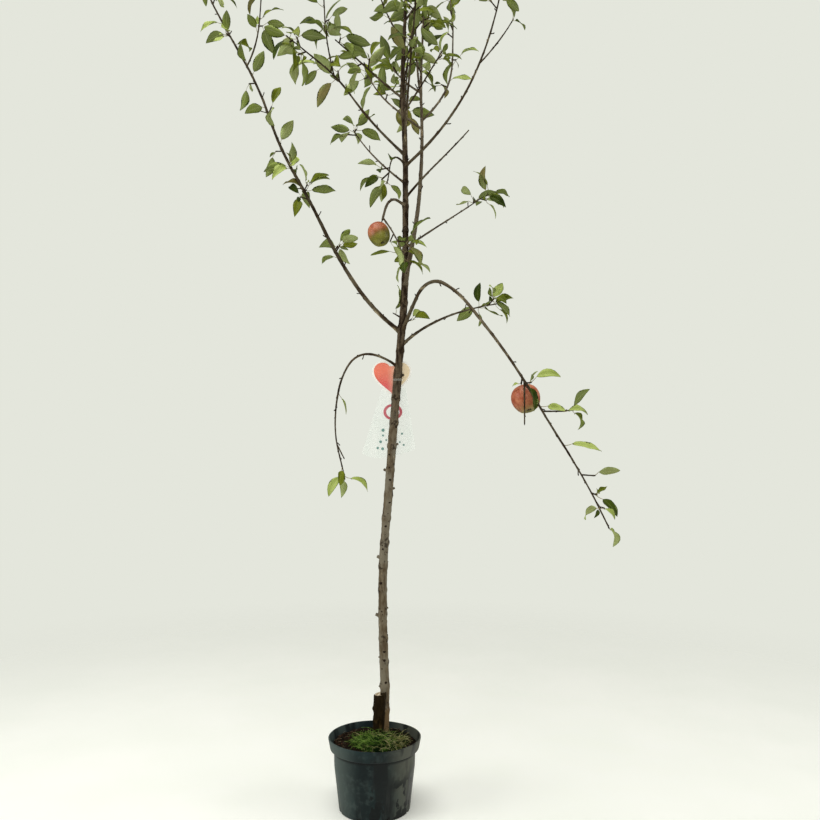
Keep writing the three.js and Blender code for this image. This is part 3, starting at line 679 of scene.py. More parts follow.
def rounded(profile, radius, points=3):
    """A profile with each inner corner replaced by a short arc."""
    result = [profile[0]]
    for before, corner, after in zip(profile, profile[1:], profile[2:]):
        p, c, n = (np.array(v, float) for v in (before, corner, after))
        back, ahead = p - c, n - c
        reach = min(radius, np.linalg.norm(back) * 0.4, np.linalg.norm(ahead) * 0.4)
        arc = (c + unit(back) * reach, c, c + unit(ahead) * reach)
        result += [tuple(bezier(arc, i / points)) for i in range(points + 1)]
    return result + [profile[-1]]


def add_bar(bm, radius, depth, matrix):
    """A round bar of 20 sides along Z, in millimetres, that the matrix turns and places."""
    verts = bmesh.ops.create_cone(
        bm, cap_ends=True, segments=20, radius1=radius * MM, radius2=radius * MM, depth=depth * MM
    )["verts"]
    bmesh.ops.transform(bm, matrix=matrix, verts=verts)


def random_spot(random, radius):
    """The reach and the angle of a place in a circle, as likely in one part of it as in another."""
    return radius * math.sqrt(random()), 2 * math.pi * random()


# ---- materials


def linear(code):
    """A colour written as six hex digits, as the linear values that Blender keeps."""
    values = [int(code[i : i + 2], 16) / 255 for i in (0, 2, 4)]
    return tuple(v / 12.92 if v <= 0.04045 else ((v + 0.055) / 1.055) ** 2.4 for v in values)


class Wiring:
    """Adds nodes to a tree. An input is given a value, a colour's six digits or another node's output."""

    def __init__(self, tree):
        self.tree = tree

    def add(self, kind, settings=None, **inputs):
        node = self.tree.nodes.new(kind)
        for name, value in (settings or {}).items():
            setattr(node, name, value)
        for name, value in inputs.items():
            self.plug(node.inputs[name.replace("_", " ")], value)
        return node

    def plug(self, socket, value):
        if isinstance(value, str):
            value = linear(value)
        if isinstance(value, bpy.types.NodeSocket):
            self.tree.links.new(value, socket)
        elif socket.type == "RGBA" and len(value) == 3:
            socket.default_value = (*value, 1)
        else:
            socket.default_value = value

    def blend(self, factor, a, b, mode="MIX"):
        node = self.tree.nodes.new("ShaderNodeMix")
        node.data_type, node.blend_type = "RGBA", mode
        for index, value in ((0, factor), (6, a), (7, b)):
            self.plug(node.inputs[index], value)
        return node.outputs[2]

    def math(self, operation, a, b=0.0):
        node = self.tree.nodes.new("ShaderNodeMath")
        node.operation = operation
        self.plug(node.inputs[0], a)
        self.plug(node.inputs[1], b)
        return node.outputs[0]

    def times(self, a, b):
        return self.math("MULTIPLY", a, b)

    def noise(self, place, scale, detail):
        return self.add("ShaderNodeTexNoise", Vector=place, Scale=scale, Detail=detail).outputs["Fac"]

    def axis(self, place, letter):
        return self.add("ShaderNodeSeparateXYZ", Vector=place).outputs[letter]

    def spread(self, value, low, high, to_low=0.0, to_high=1.0):
        node = self.tree.nodes.new("ShaderNodeMapRange")
        node.interpolation_type = "SMOOTHSTEP"
        for index, v in enumerate((value, low, high, to_low, to_high)):
            self.plug(node.inputs[index], v)
        return node.outputs[0]


def effect_group(name, inputs, outputs):
    """An empty node group with named sockets, and its wiring.

    inputs gives each one's default: a number, a colour, or None for a vector. outputs gives the kinds.
    """
    group = bpy.data.node_groups.new(name, "ShaderNodeTree")
    for label, default in inputs.items():
        kind = "Vector" if default is None else "Color" if isinstance(default, tuple) else "Float"
        socket = group.interface.new_socket(name=label, in_out="INPUT", socket_type=f"NodeSocket{kind}")
        if default is not None:
            socket.default_value = default
    for label, kind in outputs.items():
        group.interface.new_socket(name=label, in_out="OUTPUT", socket_type=f"NodeSocket{kind}")
    wiring = Wiring(group)
    return group, wiring, wiring.add("NodeGroupInput").outputs, wiring.add("NodeGroupOutput").inputs


def mottle_group():
    """Two colours in soft uneven patches."""
    group, w, given, out = effect_group(
        "Mottle",
        {
            "Vector": None, "Scale": 40.0, "Detail": 4.0, "Balance": 0.5, "Softness": 0.3,
            "First": (0, 0, 0, 1), "Second": (1, 1, 1, 1),
        },
        {"Color": "Color", "Mask": "Float"},
    )
    noise = w.noise(given["Vector"], given["Scale"], given["Detail"])
    low = w.math("SUBTRACT", given["Balance"], given["Softness"])
    high = w.math("ADD", given["Balance"], given["Softness"])
    mask = w.spread(noise, low, high)
    w.plug(out["Color"], w.blend(mask, given["First"], given["Second"]))
    w.plug(out["Mask"], mask)
    return group


def relief_group():
    """A fine uneven surface, as a normal."""
    group, w, given, out = effect_group(
        "Fine relief",
        {"Vector": None, "Scale": 300.0, "Detail": 4.0, "Strength": 0.4, "Depth": 0.0005},
        {"Normal": "Vector"},
    )
    noise = w.noise(given["Vector"], given["Scale"], given["Detail"])
    bump = w.add("ShaderNodeBump", Strength=given["Strength"], Distance=given["Depth"], Height=noise)
    w.plug(out["Normal"], bump.outputs["Normal"])
    return group


def speckle_group():
    """Small round spots, scattered."""
    group, w, given, out = effect_group(
        "Speckle", {"Vector": None, "Scale": 300.0, "Size": 0.25}, {"Mask": "Float"}
    )
    cells = w.add("ShaderNodeTexVoronoi", Vector=given["Vector"], Scale=given["Scale"])
    w.plug(out["Mask"], w.spread(cells.outputs["Distance"], given["Size"], w.times(given["Size"], 0.6)))
    return group


def vein_group():
    """A leaf's midrib and side veins over its own map."""
    group, w, given, out = effect_group(
        "Leaf veins", {"Map": None, "Pairs": 9.0}, {"Midrib": "Float", "Veins": "Float"}
    )
    across = w.math("ABSOLUTE", w.math("SUBTRACT", w.axis(given["Map"], "X"), 0.5))
    slant = w.math("SUBTRACT", w.axis(given["Map"], "Y"), w.times(across, 0.55))
    saw = w.math("FRACT", w.times(slant, given["Pairs"]))
    middle = w.math("ABSOLUTE", w.math("SUBTRACT", saw, 0.5))
    w.plug(out["Midrib"], w.spread(across, 0.035, 0.012))
    w.plug(out["Veins"], w.spread(middle, 0.12, 0.02))
    return group


EFFECTS = {
    "Mottle": mottle_group, "Fine relief": relief_group, "Speckle": speckle_group, "Leaf veins": vein_group,
}


class Finish(Wiring):
    """One material: its wiring, its shader and the coordinates that its patterns use."""

    def __init__(self, name, roughness=0.6, **sockets):
        self.material = bpy.data.materials.new(name)
        self.material.use_nodes = True
        super().__init__(self.material.node_tree)
        self.shader = self.tree.nodes["Principled BSDF"]
        self.set(Roughness=roughness, **sockets)

    def set(self, **inputs):
        for name, value in inputs.items():
            self.plug(self.shader.inputs[name.replace("_", " ")], value)

    def place(self):
        """Object coordinates."""
        return self.add("ShaderNodeTexCoord").outputs["Object"]

    def skin(self):
        """Coordinates that follow a limb's skin, lengthways along Z."""
        return self.add("ShaderNodeAttribute", {"attribute_name": "skin"}).outputs["Vector"]

    def stretched(self, place, z=1.0, y=1.0):
        """A place whose patterns are drawn out along Z or Y."""
        return self.add("ShaderNodeMapping", Vector=place, Scale=(1, y, z)).outputs["Vector"]

    def use(self, name, **inputs):
        """The outputs of an effect, whose group is built once."""
        tree = bpy.data.node_groups.get(name) or EFFECTS[name]()
        return self.add("ShaderNodeGroup", {"node_tree": tree}, **inputs).outputs

    def mottle(self, place, scale, first, second, detail=4.0, softness=0.3, balance=0.5):
        return self.use(
            "Mottle", Vector=place, Scale=scale, Detail=detail, Balance=balance, Softness=softness,
            First=first, Second=second,
        )["Color"]

    def patches(self, place, scale, detail=4.0, softness=0.3, balance=0.5):
        """The mottling's mask alone."""
        return self.use(
            "Mottle", Vector=place, Scale=scale, Detail=detail, Balance=balance, Softness=softness
        )["Mask"]

    def spots(self, place, scale, size):
        return self.use("Speckle", Vector=place, Scale=scale, Size=size)["Mask"]

    def cover(self, tone, mask, share, colour):
        """The tone under a colour that lies where the mask is, and hides at most the share of it."""
        return self.blend(self.times(mask, share), tone, colour)

    def relief(self, place, scale, strength, depth, detail=4.0):
        self.set(Normal=self.use(
            "Fine relief", Vector=place, Scale=scale, Detail=detail, Strength=strength, Depth=depth
        )["Normal"])


def pot_plastic(settings):
    """Scuffed plastic with a painted highlight on each side, damp runs, smudges and a painted shade line
    under its band.
    """
    f = Finish("Pot plastic", Specular_IOR_Level=0.16)
    place = f.place()
    x, z = f.axis(place, "X"), f.axis(place, "Z")
    tone = f.mottle(
        place, 9.0, settings.plastic, settings.plastic_worn, detail=5.0, softness=0.14, balance=0.52
    )
    dusty = f.patches(place, 60.0, detail=6.0, softness=0.12, balance=0.6)
    tone = f.cover(tone, dusty, 0.45, settings.dust)
    # painted highlights: the pot's left and right sides are painted lighter where the side lamps would light
    # them
    tone = f.blend(f.spread(x, -0.03, -0.11, 0, 0.6), tone, settings.painted_left_highlight)
    tone = f.blend(f.spread(x, 0.02, 0.1, 0, 0.75), tone, settings.painted_right_highlight)
    runs = f.patches(f.stretched(place, z=0.22), 26.0, softness=0.07, balance=0.56)
    smudges = f.patches(f.stretched(place, z=0.7), 34.0, detail=5.0, softness=0.02, balance=0.56)
    low_side = f.times(f.spread(z, 0.13, 0.09), f.spread(x, -0.03, 0.0))
    # painted shade: a dark line just under the band, in the streak colour
    painted_shade_under_band = f.times(f.spread(z, 0.153, 0.161), f.spread(z, 0.166, 0.164))
    for mask, share in ((runs, 0.85), (f.times(smudges, low_side), 0.9), (painted_shade_under_band, 0.85)):
        tone = f.cover(tone, mask, share, settings.streak)
    f.set(Base_Color=tone, Roughness=f.spread(runs, 0, 1, 0.58, 0.34))
    f.relief(place, 260.0, strength=0.25, depth=0.0004)
    return f.material


def two_tone(name, roughness, first, second, scale, detail=4.0, softness=0.3, relief=None, **sockets):
    """A plain finish of two soft tones, with a fine relief where its numbers are given."""
    f = Finish(name, roughness, **sockets)
    f.set(Base_Color=f.mottle(f.place(), scale, first, second, detail, softness))
    if relief:
        f.relief(f.place(), **relief)
    return f.material


def soil_crumb(name, dark, light):
    crumbs = dict(scale=420.0, strength=0.9, depth=0.0015, detail=6.0)
    return two_tone(
        name, 0.95, dark, light, 120.0, detail=6.0, softness=0.15, relief=crumbs, Specular_IOR_Level=0.05
    )


def blade_green(name, first, second, scale=70.0):
    ribs = dict(scale=500.0, strength=0.3, depth=0.0005)
    return two_tone(name, 0.6, first, second, scale, softness=0.14, relief=ribs, Specular_IOR_Level=0.06)


BARK_CHANGE = (0.84, 1.16)  # metres up the trunk between which its upper bark takes over


def bark_finish(
    name, young, old, pale, scar_and_node_shade, pale_balance=0.62, upper=None, foot=None, crack=0.36, rings=None
):
    """Bark with lengthways streaks, grey patches, corky spots and fine cracks.

    upper is a pair of colours that take over between the heights in BARK_CHANGE.
    foot is the colour of its lowest 7 cm, and rings the distance between rings of painted shade at its nodes.
    """
    f = Finish(name, 0.82, Specular_IOR_Level=0.08)
    skin = f.skin()
    height = f.axis(skin, "Z")
    patches = f.patches(f.stretched(skin, z=0.5), 34.0, detail=5.0, softness=0.09, balance=pale_balance)
    tone = f.mottle(f.stretched(skin, z=0.28), 130.0, young, old, detail=6.0, softness=0.16)
    tone = f.cover(tone, patches, 0.8, pale)
    if upper:
        high = f.mottle(f.stretched(skin, z=0.3), 110.0, *upper, detail=6.0, softness=0.14)
        ragged = f.math("ADD", height, f.times(patches, 0.12))
        tone = f.blend(f.spread(ragged, *BARK_CHANGE), tone, high)
    # painted shade: ragged dark rings at the nodes, in the scar colour
    if rings:
        wobble = f.math("SUBTRACT", f.noise(skin, 70.0, 4.0), 0.5)
        ragged = f.math("ADD", height, f.times(wobble, 0.09))
        share = f.math("FRACT", f.math("ADD", f.math("DIVIDE", ragged, rings), 0.5))
        near = f.spread(f.math("ABSOLUTE", f.math("SUBTRACT", share, 0.5)), 0.12, 0.05, 0, 0.75)
        here = f.spread(f.noise(skin, 38.0, 3.0), 0.46, 0.56)
        tone = f.blend(f.times(near, here), tone, scar_and_node_shade)
    if foot:
        tone = f.cover(tone, f.spread(height, 0.085, 0.06), 0.9, foot)
    corky = f.spots(f.stretched(skin, z=0.55), 240.0, 0.2)
    cracks = f.patches(f.stretched(skin, z=0.4), 80.0, detail=8.0, softness=0.05, balance=crack)
    f.set(Base_Color=f.cover(f.cover(tone, corky, 0.35, pale), cracks, 0.7, scar_and_node_shade))
    f.relief(f.stretched(skin, z=0.45), 420.0, strength=0.6, depth=0.0008, detail=7.0)
    return f.material


DULL_SPOT = (0.08, 0.05, 0.02)


def leaf_finish(name, first, second, vein, gloss, vein_share):
    """A leaf face: soft mottling, paler veins, small dull spots."""
    f = Finish(name, gloss, Specular_IOR_Level=0.06)
    place = f.place()
    chart = f.add("ShaderNodeUVMap", {"uv_map": "leaf_map"}).outputs["UV"]
    veins = f.use("Leaf veins", Map=chart)
    strong = f.math("MAXIMUM", veins["Midrib"], f.times(veins["Veins"], 0.45))
    tone = f.cover(f.mottle(place, 28.0, first, second, softness=0.2), strong, vein_share, vein)
    f.set(Base_Color=f.cover(tone, f.spots(place, 150.0, 0.14), 0.35, DULL_SPOT))
    bump = f.add("ShaderNodeBump", Strength=0.35, Distance=0.0006, Height=strong)
    f.set(Normal=bump.outputs["Normal"])
    return f.material


def fruit_skin(settings):
    """A green ground under a streaky blush, as strong as the skin attribute's Z says, and corky spots."""
    f = Finish("Fruit skin", 0.46, Specular_IOR_Level=0.35, Coat_Weight=0.06)
    skin, place = f.skin(), f.place()
    ground = f.mottle(place, 45.0, settings.ground, settings.ground_dark, softness=0.2)
    blush = f.mottle(place, 60.0, settings.blush, settings.blush_deep, detail=3.0, softness=0.2)
    streak = f.math("SUBTRACT", f.noise(f.stretched(skin, y=0.12), 26.0, 5.0), 0.5)
    amount = f.math("ADD", f.axis(skin, "Z"), f.times(streak, 0.9))
    tone = f.blend(f.spread(amount, 0.25, 0.8), ground, blush)
    f.set(Base_Color=f.cover(tone, f.spots(place, 330.0, 0.16), 0.3, settings.spots))
    f.relief(place, 90.0, strength=0.06, depth=0.001)
    return f.material


def plain_wood(name, first, second):
    grain = dict(scale=500.0, strength=0.4, depth=0.0006)
    return two_tone(name, 0.75, first, second, 160.0, detail=5.0, softness=0.2, relief=grain)


# ---- settings


def a_colour(name, what, code):
    return bpy.props.FloatVectorProperty(
        name=name, description=f"Colour of {what}", subtype="COLOR", size=3, min=0, max=1,
        default=linear(code),
    )


def a_length(name, description, default):
    return bpy.props.FloatProperty(name=name, description=description, unit="LENGTH", default=default, min=0)


def a_number(name, description, default):
    return bpy.props.FloatProperty(name=name, description=description, default=default, min=0)


def a_count(name, description, default, least):
    return bpy.props.IntProperty(name=name, description=description, default=default, min=least)


class PotSettings(bpy.types.PropertyGroup):
    steps: a_count("Steps", "Steps round the pot", 128, 24)
    wave: a_length("Wave", "How far the rim is out of true", 0.0011)
    plastic: a_colour("Plastic", "the moulded plastic", "0c191b")
    plastic_worn: a_colour("Worn plastic", "scuffed plastic", "192a2b")
    dust: a_colour("Dust", "dried dust", "3b4745")
    # painted highlights on the pot's left and right sides
    painted_left_highlight: a_colour("Bleached side", "the side that faced the sun", "58645f")
    painted_right_highlight: a_colour("Grime", "the other side's brown film", "5a5b50")
    # streak paints the damp runs and smudges, and also the painted shade line under the band
    streak: a_colour("Streak", "the damp runs", "080d0e")


class SoilSettings(bpy.types.PropertyGroup):
    lump: a_length("Lumps", "Height of the soil's lumps", 0.0035)
    chips: a_count("Chips", "Bark chips on the soil", 420, 0)
    straws: a_count("Straws", "Dry straws on the soil", 90, 0)
    dark: a_colour("Dark", "the soil's dark crumbs", "0b0805")
    light: a_colour("Light", "the soil's light crumbs", "241a0f")
    chip: a_colour("Chips", "the bark chips", "4f3327")
    straw: a_colour("Straw", "dry straw", "8d8064")


class MossSettings(bpy.types.PropertyGroup):
    blades: a_count("Blades", "Blades in the cushion", 2100, 0)
    long_blades: a_count("Long blades", "Arching blades over it", 110, 0)
    blade: a_length("Blade length", "Length of a coarse blade", 0.036)
    deep: a_colour("Deep green", "the cushion's inside", "0a1b03")
    bright: a_colour("Bright green", "fresh blades", "47691a")
    olive: a_colour("Olive", "drying blades", "757440")


class BarkSettings(bpy.types.PropertyGroup):
    ring: a_length("Ring spacing", "Distance between rings of a limb's skin", 0.0042)
    sides: a_count("Sides", "Sides of the trunk's skin", 28, 8)
    relief: a_length("Relief", "Depth of the bark's relief", 0.00032)
    young: a_colour("Young bark", "young bark", "8d7a5e")
    old: a_colour("Old bark", "old bark", "c3b292")
    pale: a_colour("Grey patches", "grey patches and corky spots", "d6ccb2")
    upper: a_colour("Upper bark", "the darker bark higher up", "332414")
    upper_old: a_colour("Old upper bark", "the lighter bark higher up", "9d8a6f")
    foot: a_colour("Foot", "the bark at the foot", "c8a472")
    # also the colour of the painted shade rings at the trunk's nodes
    scar_and_node_shade: a_colour("Scars", "cracks and bud scars", "221810")
    stump: a_colour("Rootstock", "the cut rootstock's bark", "32250d")
    cut: a_colour("Cut wood", "the cut", "d8ccb2")


class LeafSettings(bpy.types.PropertyGroup):
    stations: a_count("Stations", "Rows of faces along a blade", 12, 4)
    tooth: a_number("Teeth", "Depth of the margin's teeth", 0.022)
    mid: a_colour("Mid green", "most leaves' upper side", "4f5a0c")
    deep: a_colour("Deep green", "older leaves' upper side", "203002")
    light: a_colour("Light green", "young leaves' upper side", "93a34a")
    russet: a_colour("Russet", "leaves that turn brown", "625824")
    under: a_colour("Underside", "a leaf's underside", "7c8a3f")
    under_pale: a_colour("Pale underside", "a young leaf's underside", "aab878")
    vein: a_colour("Veins", "the veins", "a3a968")
    stalk: a_colour("Leaf stalk", "the leaf stalks", "948f66")


class FruitSettings(bpy.types.PropertyGroup):
    steps: a_count("Steps", "Steps round a fruit", 48, 12)
    nod: a_number("Nod", "Turn of a fruit's eye to the front, in degrees", 20)
    ground: a_colour("Ground", "the skin under the blush", "84822c")
    ground_dark: a_colour("Dark ground", "the darker skin under the blush", "5c5a18")
    blush: a_colour("Blush", "the sunny side", "c67c58")
    blush_deep: a_colour("Deep blush", "the sunny side's deeper patches", "a04a2c")
    spots: a_colour("Spots", "the small corky spots", "b8a071")


class LabelSettings(bpy.types.PropertyGroup):
    border: a_length("Border", "Width of the heart's white border", 0.0048)
    coral: a_colour("Coral", "the printed side", "f0714f")
    rose: a_colour("Rose", "the printed side's lower part", "e2505a")
    cream: a_colour("Cream", "the card's other edge", "f0dab0")
    white: a_colour("White", "the border", "fdfbf4")
    film: a_colour("Film", "the clear film", "f7faf4")
    dots: a_colour("Dots", "the small dots", "5f9288")
    ring: a_colour("Ring", "the ring", "d0495a")


class StageSettings(bpy.types.PropertyGroup):
    wall: a_colour("Surround", "all that lies round the floor", "e4e6dc")
    floor: a_colour("Floor", "the floor", "f6f6ee")
    ambient: a_number("Ambient", "Strength of the light all round", 0.3)
    overhead: a_number("Overhead", "Power of the lamp overhead", 118)
    left: a_number("Left", "Power of the lamp on the left", 48)
    right: a_number("Right", "Power of the lamp on the right", 36)
    front: a_number("Front", "Power of the lamp in front", 40)


# ---- pot, soil and moss


POT_BENDS = ((2, 0.7, 1), (3, -1.1, 0.6), (7, 2, 0.35))  # waves round the rim, their phase and size


def make_pot(settings):
    height, wall, edge = POT["height"], POT["wall"], POT["rim_edge"]
    foot, waist, body = POT["foot_radius"], POT["waist_radius"], POT["body_radius"]
    band, rim, rise = POT["band_radius"], POT["rim_radius"], POT["band_bottom"]
    band_edge = rise + POT["band_step"]
    profile = [
        (0, 0), (foot, 0), (waist, POT["waist_height"]), (body, rise), (band, band_edge),
        (rim, height - edge), (rim - edge / 2, height), (rim - POT["lip"], height),
        (band - wall, band_edge + wall), (body - wall, rise + wall),
        (waist - wall, POT["waist_height"]), (foot - wall, wall), (0, wall),
    ]
    bm = spun(rounded(profile, 3.0), settings.steps)
    for vert in bm.verts:
        share = max(0.0, vert.co.z / (height * MM)) ** 3
        angle = math.atan2(vert.co.y, vert.co.x)
        bend = sum(size * math.cos(waves * angle + phase) for waves, phase, size in POT_BENDS)
        reach = math.hypot(vert.co.x, vert.co.y)
        if reach > 0:
            factor = 1 + settings.wave * 0.5 * share * bend / reach
            vert.co.x *= factor
            vert.co.y *= factor
        vert.co.z += settings.wave * 0.5 * share**2 * (math.cos(3 * angle + 0.4) - 1)
    pot = new_piece("pot_shell", bm, ["pot"], [pot_plastic(settings)])
    cutters = bmesh.new()
    for i in range(POT["holes"]):
        turn = Matrix.Rotation(2 * math.pi * (i + 0.5) / POT["holes"], 4, "Z")
        at_foot = turn @ Matrix.Translation((foot * MM, 0, 0)) @ Matrix.Rotation(math.pi / 2, 4, "Y")
        add_bar(cutters, POT["hole_radius"], POT["hole_depth"], at_foot)
    cutter = bpy.data.objects.new("drain_holes", finish_mesh(cutters, "drain_holes", smooth=False))
    bpy.context.scene.collection.objects.link(cutter)
    boolean = pot.modifiers.new("Drain holes", "BOOLEAN")
    boolean.object, boolean.operation, boolean.solver = cutter, "DIFFERENCE", "EXACT"
    bpy.context.view_layer.update()
    cut = bpy.data.meshes.new_from_object(pot.evaluated_get(bpy.context.evaluated_depsgraph_get()))
    pot.modifiers.clear()
    pot.data = cut
    bpy.data.objects.remove(cutter)
    if len(cut.vertices) < 1000:
        raise RuntimeError("the pot's drain holes weren't cut")


def soil_height(x, y, lump):
    """The soil's own lumps, in metres, at a place on it."""
    total = 0.0
    random = seeded(5)
    for _ in range(14):
        heading = 2 * math.pi * random()
        wave = mix(60, 420, random() ** 1.5)
        phase = 2 * math.pi * random()
        total += math.cos(wave * (x * math.cos(heading) + y * math.sin(heading)) + phase)
    return lump * 0.28 * total / 2


CHIP = {  # millimetres and degrees; clear is how far its place stays from the rim
    "length": (2, 9), "width": (1.6, 4.5), "thickness": (0.7, 2), "tilt": (-25, 25), "clear": 16,
}
STRAW = {
    "length": (5, 22), "bend": (-60, 60), "rise": (-4, 25), "droop": -14, "radii": (0.42, 0.2), "clear": 18,
}


def make_soil(settings):
    inner = POT["wall"] + GAP
    level, flat = SOIL["level"], SOIL["flat_radius"]
    rings = 30
    profile = [
        (0, inner), (POT["foot_radius"] - inner - GAP, inner),
        (POT["waist_radius"] - inner, POT["waist_height"]),
        (POT["body_radius"] - inner, POT["band_bottom"] + POT["wall"]),
        (SOIL["edge_radius"] - 1, SOIL["edge_level"]),
        *[(flat * (1 - i / rings), level) for i in range(rings)], (0, level),
    ]
    bm = spun(profile, 110)
    for vert in bm.verts:
        if vert.co.z > (SOIL["edge_level"] - 1) * MM:
            vert.co.z += soil_height(vert.co.x, vert.co.y, settings.lump) - MM
    new_piece("soil_bed", bm, ["soil"], [soil_crumb("Soil", settings.dark, settings.light)])

    def level_at(x, y):
        return level + soil_height(x * MM, y * MM, settings.lump) / MM

    pile = Pile()
    random = seeded(77)
    for _ in range(settings.chips):
        reach, angle = random_spot(random, POT["rim_radius"] - CHIP["clear"])
        x, y = reach * math.cos(angle), reach * math.sin(angle)
        if x > -25 and random() < 0.5:
            continue
        length, width = mix(*CHIP["length"], random() ** 2), mix(*CHIP["width"], random() ** 2)
        thickness = mix(*CHIP["thickness"], random())
        heading, tip, bank = 360 * random(), mix(*CHIP["tilt"], random()), mix(*CHIP["tilt"], random())
        centre = vector(x, y, level_at(x, y) - 1 + thickness * 0.4)
        add_flake(pile, centre, heading, tip, bank, (length, width, thickness), random)
    bark_chips = soil_crumb("Bark chips", settings.dark, settings.chip)
    new_piece("soil_chips", pile, [], [bark_chips], smooth=False)
    pile = Pile()
    for _ in range(settings.straws):
        reach, angle = random_spot(random, POT["rim_radius"] - STRAW["clear"])
        x, y = reach * math.cos(angle), reach * math.sin(angle)
        length = mix(*STRAW["length"], random() ** 2)
        heading = inside_wall(x, y, 360 * random(), length)
        headings = [heading, heading + mix(*STRAW["bend"], random())]
        rises = [mix(*STRAW["rise"], random()), STRAW["droop"]]
        line = centre_line((x, y, level_at(x, y) + 0.2), headings, rises, length)
        add_thin_tube(pile, line, *STRAW["radii"], 3, 5)
    new_piece("soil_straw", pile, [], [plain_wood("Dry straw", settings.straw, "6f6247")])


def add_flake(pile, centre, heading, tip, bank, size, random):
    """An uneven slab with six corners on its top and six below."""
    ahead = direction(heading, tip)
    side = unit(np.cross(vector(0, 0, 1), ahead))
    up = turned(np.cross(ahead, side), side, math.radians(bank))
    side = np.cross(up, ahead)
    length, width, thickness = size
    points = []
    for level, share in ((-0.5, 1.0), (0.5, 0.8)):
        for i in range(6):
            angle = math.pi * i / 3
            reach = mix(0.75, 1.15, random()) * share / 2
            place = ahead * (length * reach * math.cos(angle)) + side * (width * reach * math.sin(angle))
            points.append(centre + place + up * (thickness * level * mix(0.7, 1.2, random())))
    faces = [tuple(range(5, -1, -1)), tuple(range(6, 12))]
    faces += [(i, (i + 1) % 6, 6 + (i + 1) % 6, 6 + i) for i in range(6)]
    pile.add(points, faces)


def add_thin_tube(pile, line, foot_radius, tip_radius, sides, rings, slot=0):
    distances = np.linspace(0, line["length"], rings)
    radii = np.repeat(np.linspace(foot_radius, tip_radius, rings)[:, None], sides, 1)
    points, faces, skin = tube(line, distances, even_angles(sides), radii)
    pile.add(points, faces, slot, skin)


def inside_wall(x, y, heading, length):
    """The heading, turned to the middle where a straw would otherwise pass the pot's wall."""
    turn = math.radians(heading)
    if math.hypot(x + length * math.cos(turn), y + length * math.sin(turn)) < POT["body_radius"] - 2:
        return heading
    return math.degrees(math.atan2(-y, -x))


def moss_cushion(settings):
    steps = 18
    radius, height = MOSS["radius"], MOSS["height"] * 0.62
    profile = [(0, 0)]
    for i in range(steps + 1):
        t = i / steps * math.pi / 2
        profile.append((radius * math.cos(t) ** 0.75, height * math.sin(t)))
    bm = spun(profile, 64)
    base = (SOIL["level"] + GAP) * MM
    for vert in bm.verts:
        x, y = vert.co.x * MOSS["stretch"], vert.co.y
        angle = math.atan2(y, x)
        edge = 0.86 + 0.06 * math.cos(3 * angle + 1) + 0.05 * math.cos(5 * angle + 2.2)
        edge += 0.03 * math.cos(11 * angle)
        lump = soil_height(x * 2.2 + 0.3, y * 2.2, 0.004) if vert.co.z > 0.001 else 0
        vert.co = (x * edge + MOSS["x"] * MM, y * edge + MOSS["y"] * MM, vert.co.z + base - 0.0015 + lump)
    finish = blade_green("Moss cushion", settings.deep, "182c08")
    new_piece("moss_cushion", bm, ["moss"], [finish])


def moss_line(x, y, z, heading, turn, rises, length):
    """A blade's line from a place on the cushion, given from its middle."""
    foot = (x + MOSS["x"], y + MOSS["y"], z)
    return centre_line(foot, [heading, heading + turn / 2, heading + turn], rises, length)


BLADES = {  # reach over the cushion, share of a coarse blade's length, foot's radius in mm, and rings
    "coarse": {"reach": 1.06, "length": (0.6, 1.25), "radius": (0.7, 1.15), "rings": 6},
    "fine": {"reach": 0.97, "length": (0.2, 0.5), "radius": (0.35, 0.6), "rings": 4},
    "long": {"reach": 0.85, "length": (1.0, 1.7), "radius": (0.75, 1.1), "rings": 9},
}


def make_moss(settings):
    moss_cushion(settings)
    radius, height = MOSS["radius"], MOSS["height"]
    broad, level, blade = radius * MOSS["stretch"], SOIL["level"], settings.blade / MM
    deep, bright, olive = 0, 1, 2
    pile = Pile()
    random = seeded(31)
    for number in range(settings.blades):
        kind = BLADES["fine" if number % 3 else "coarse"]
        reach, angle = random_spot(random, kind["reach"])
        x, y = reach * broad * math.cos(angle), reach * radius * math.sin(angle)
        z = level + height * 0.56 * math.sqrt(max(0.0, 1 - reach**2)) - 1
        length = blade * mix(*kind["length"], random())
        heading = math.degrees(angle) + mix(-95, 95, random())
        heading = inside_wall(x + MOSS["x"], y + MOSS["y"], heading, length)
        rise, turn = mix(8, 60, random()), mix(-75, 75, random())
        rises = [rise, rise * 0.4, rise - mix(25, 80, random())]
        share = x / broad + mix(-0.45, 0.45, random())
        if random() < (0.5 if share > 0.35 else 0.07):
            slot = olive
        else:
            slot = bright if random() < (0.5 if share < -0.35 else 0.16) else deep
        line = moss_line(x, y, z, heading, turn, rises, length)
        add_thin_tube(pile, line, mix(*kind["radius"], random()), 0.2, 3, kind["rings"], slot)
    kind = BLADES["long"]
    for _ in range(settings.long_blades):
        reach, angle = random_spot(random, kind["reach"])
        x, y = reach * broad * math.cos(angle), reach * radius * math.sin(angle)
        length = blade * mix(*kind["length"], random())
        heading = inside_wall(x + MOSS["x"], y + MOSS["y"], 360 * random(), length * 0.8)
        rise, turn = mix(30, 72, random()), mix(-50, 50, random())
        rises = [rise, rise * 0.35, rise - mix(70, 120, random())]
        share = x / broad + mix(-0.3, 0.3, random())
        slot = olive if share > 0.5 else bright if share < -0.3 or random() < 0.2 else deep
        line = moss_line(x, y, level + height * 0.4, heading, turn, rises, length)
        add_thin_tube(pile, line, mix(*kind["radius"], random()), 0.25, 3, kind["rings"], slot)
    finishes = [
        blade_green("Deep blades", "0a1c03", "1c3708"),
        blade_green("Bright blades", settings.bright, "84a34c"),
        blade_green("Olive blades", settings.olive, "b5b17c"),
    ]
    new_piece("moss_blades", pile, [], finishes)


# ---- trunk, boughs and twigs


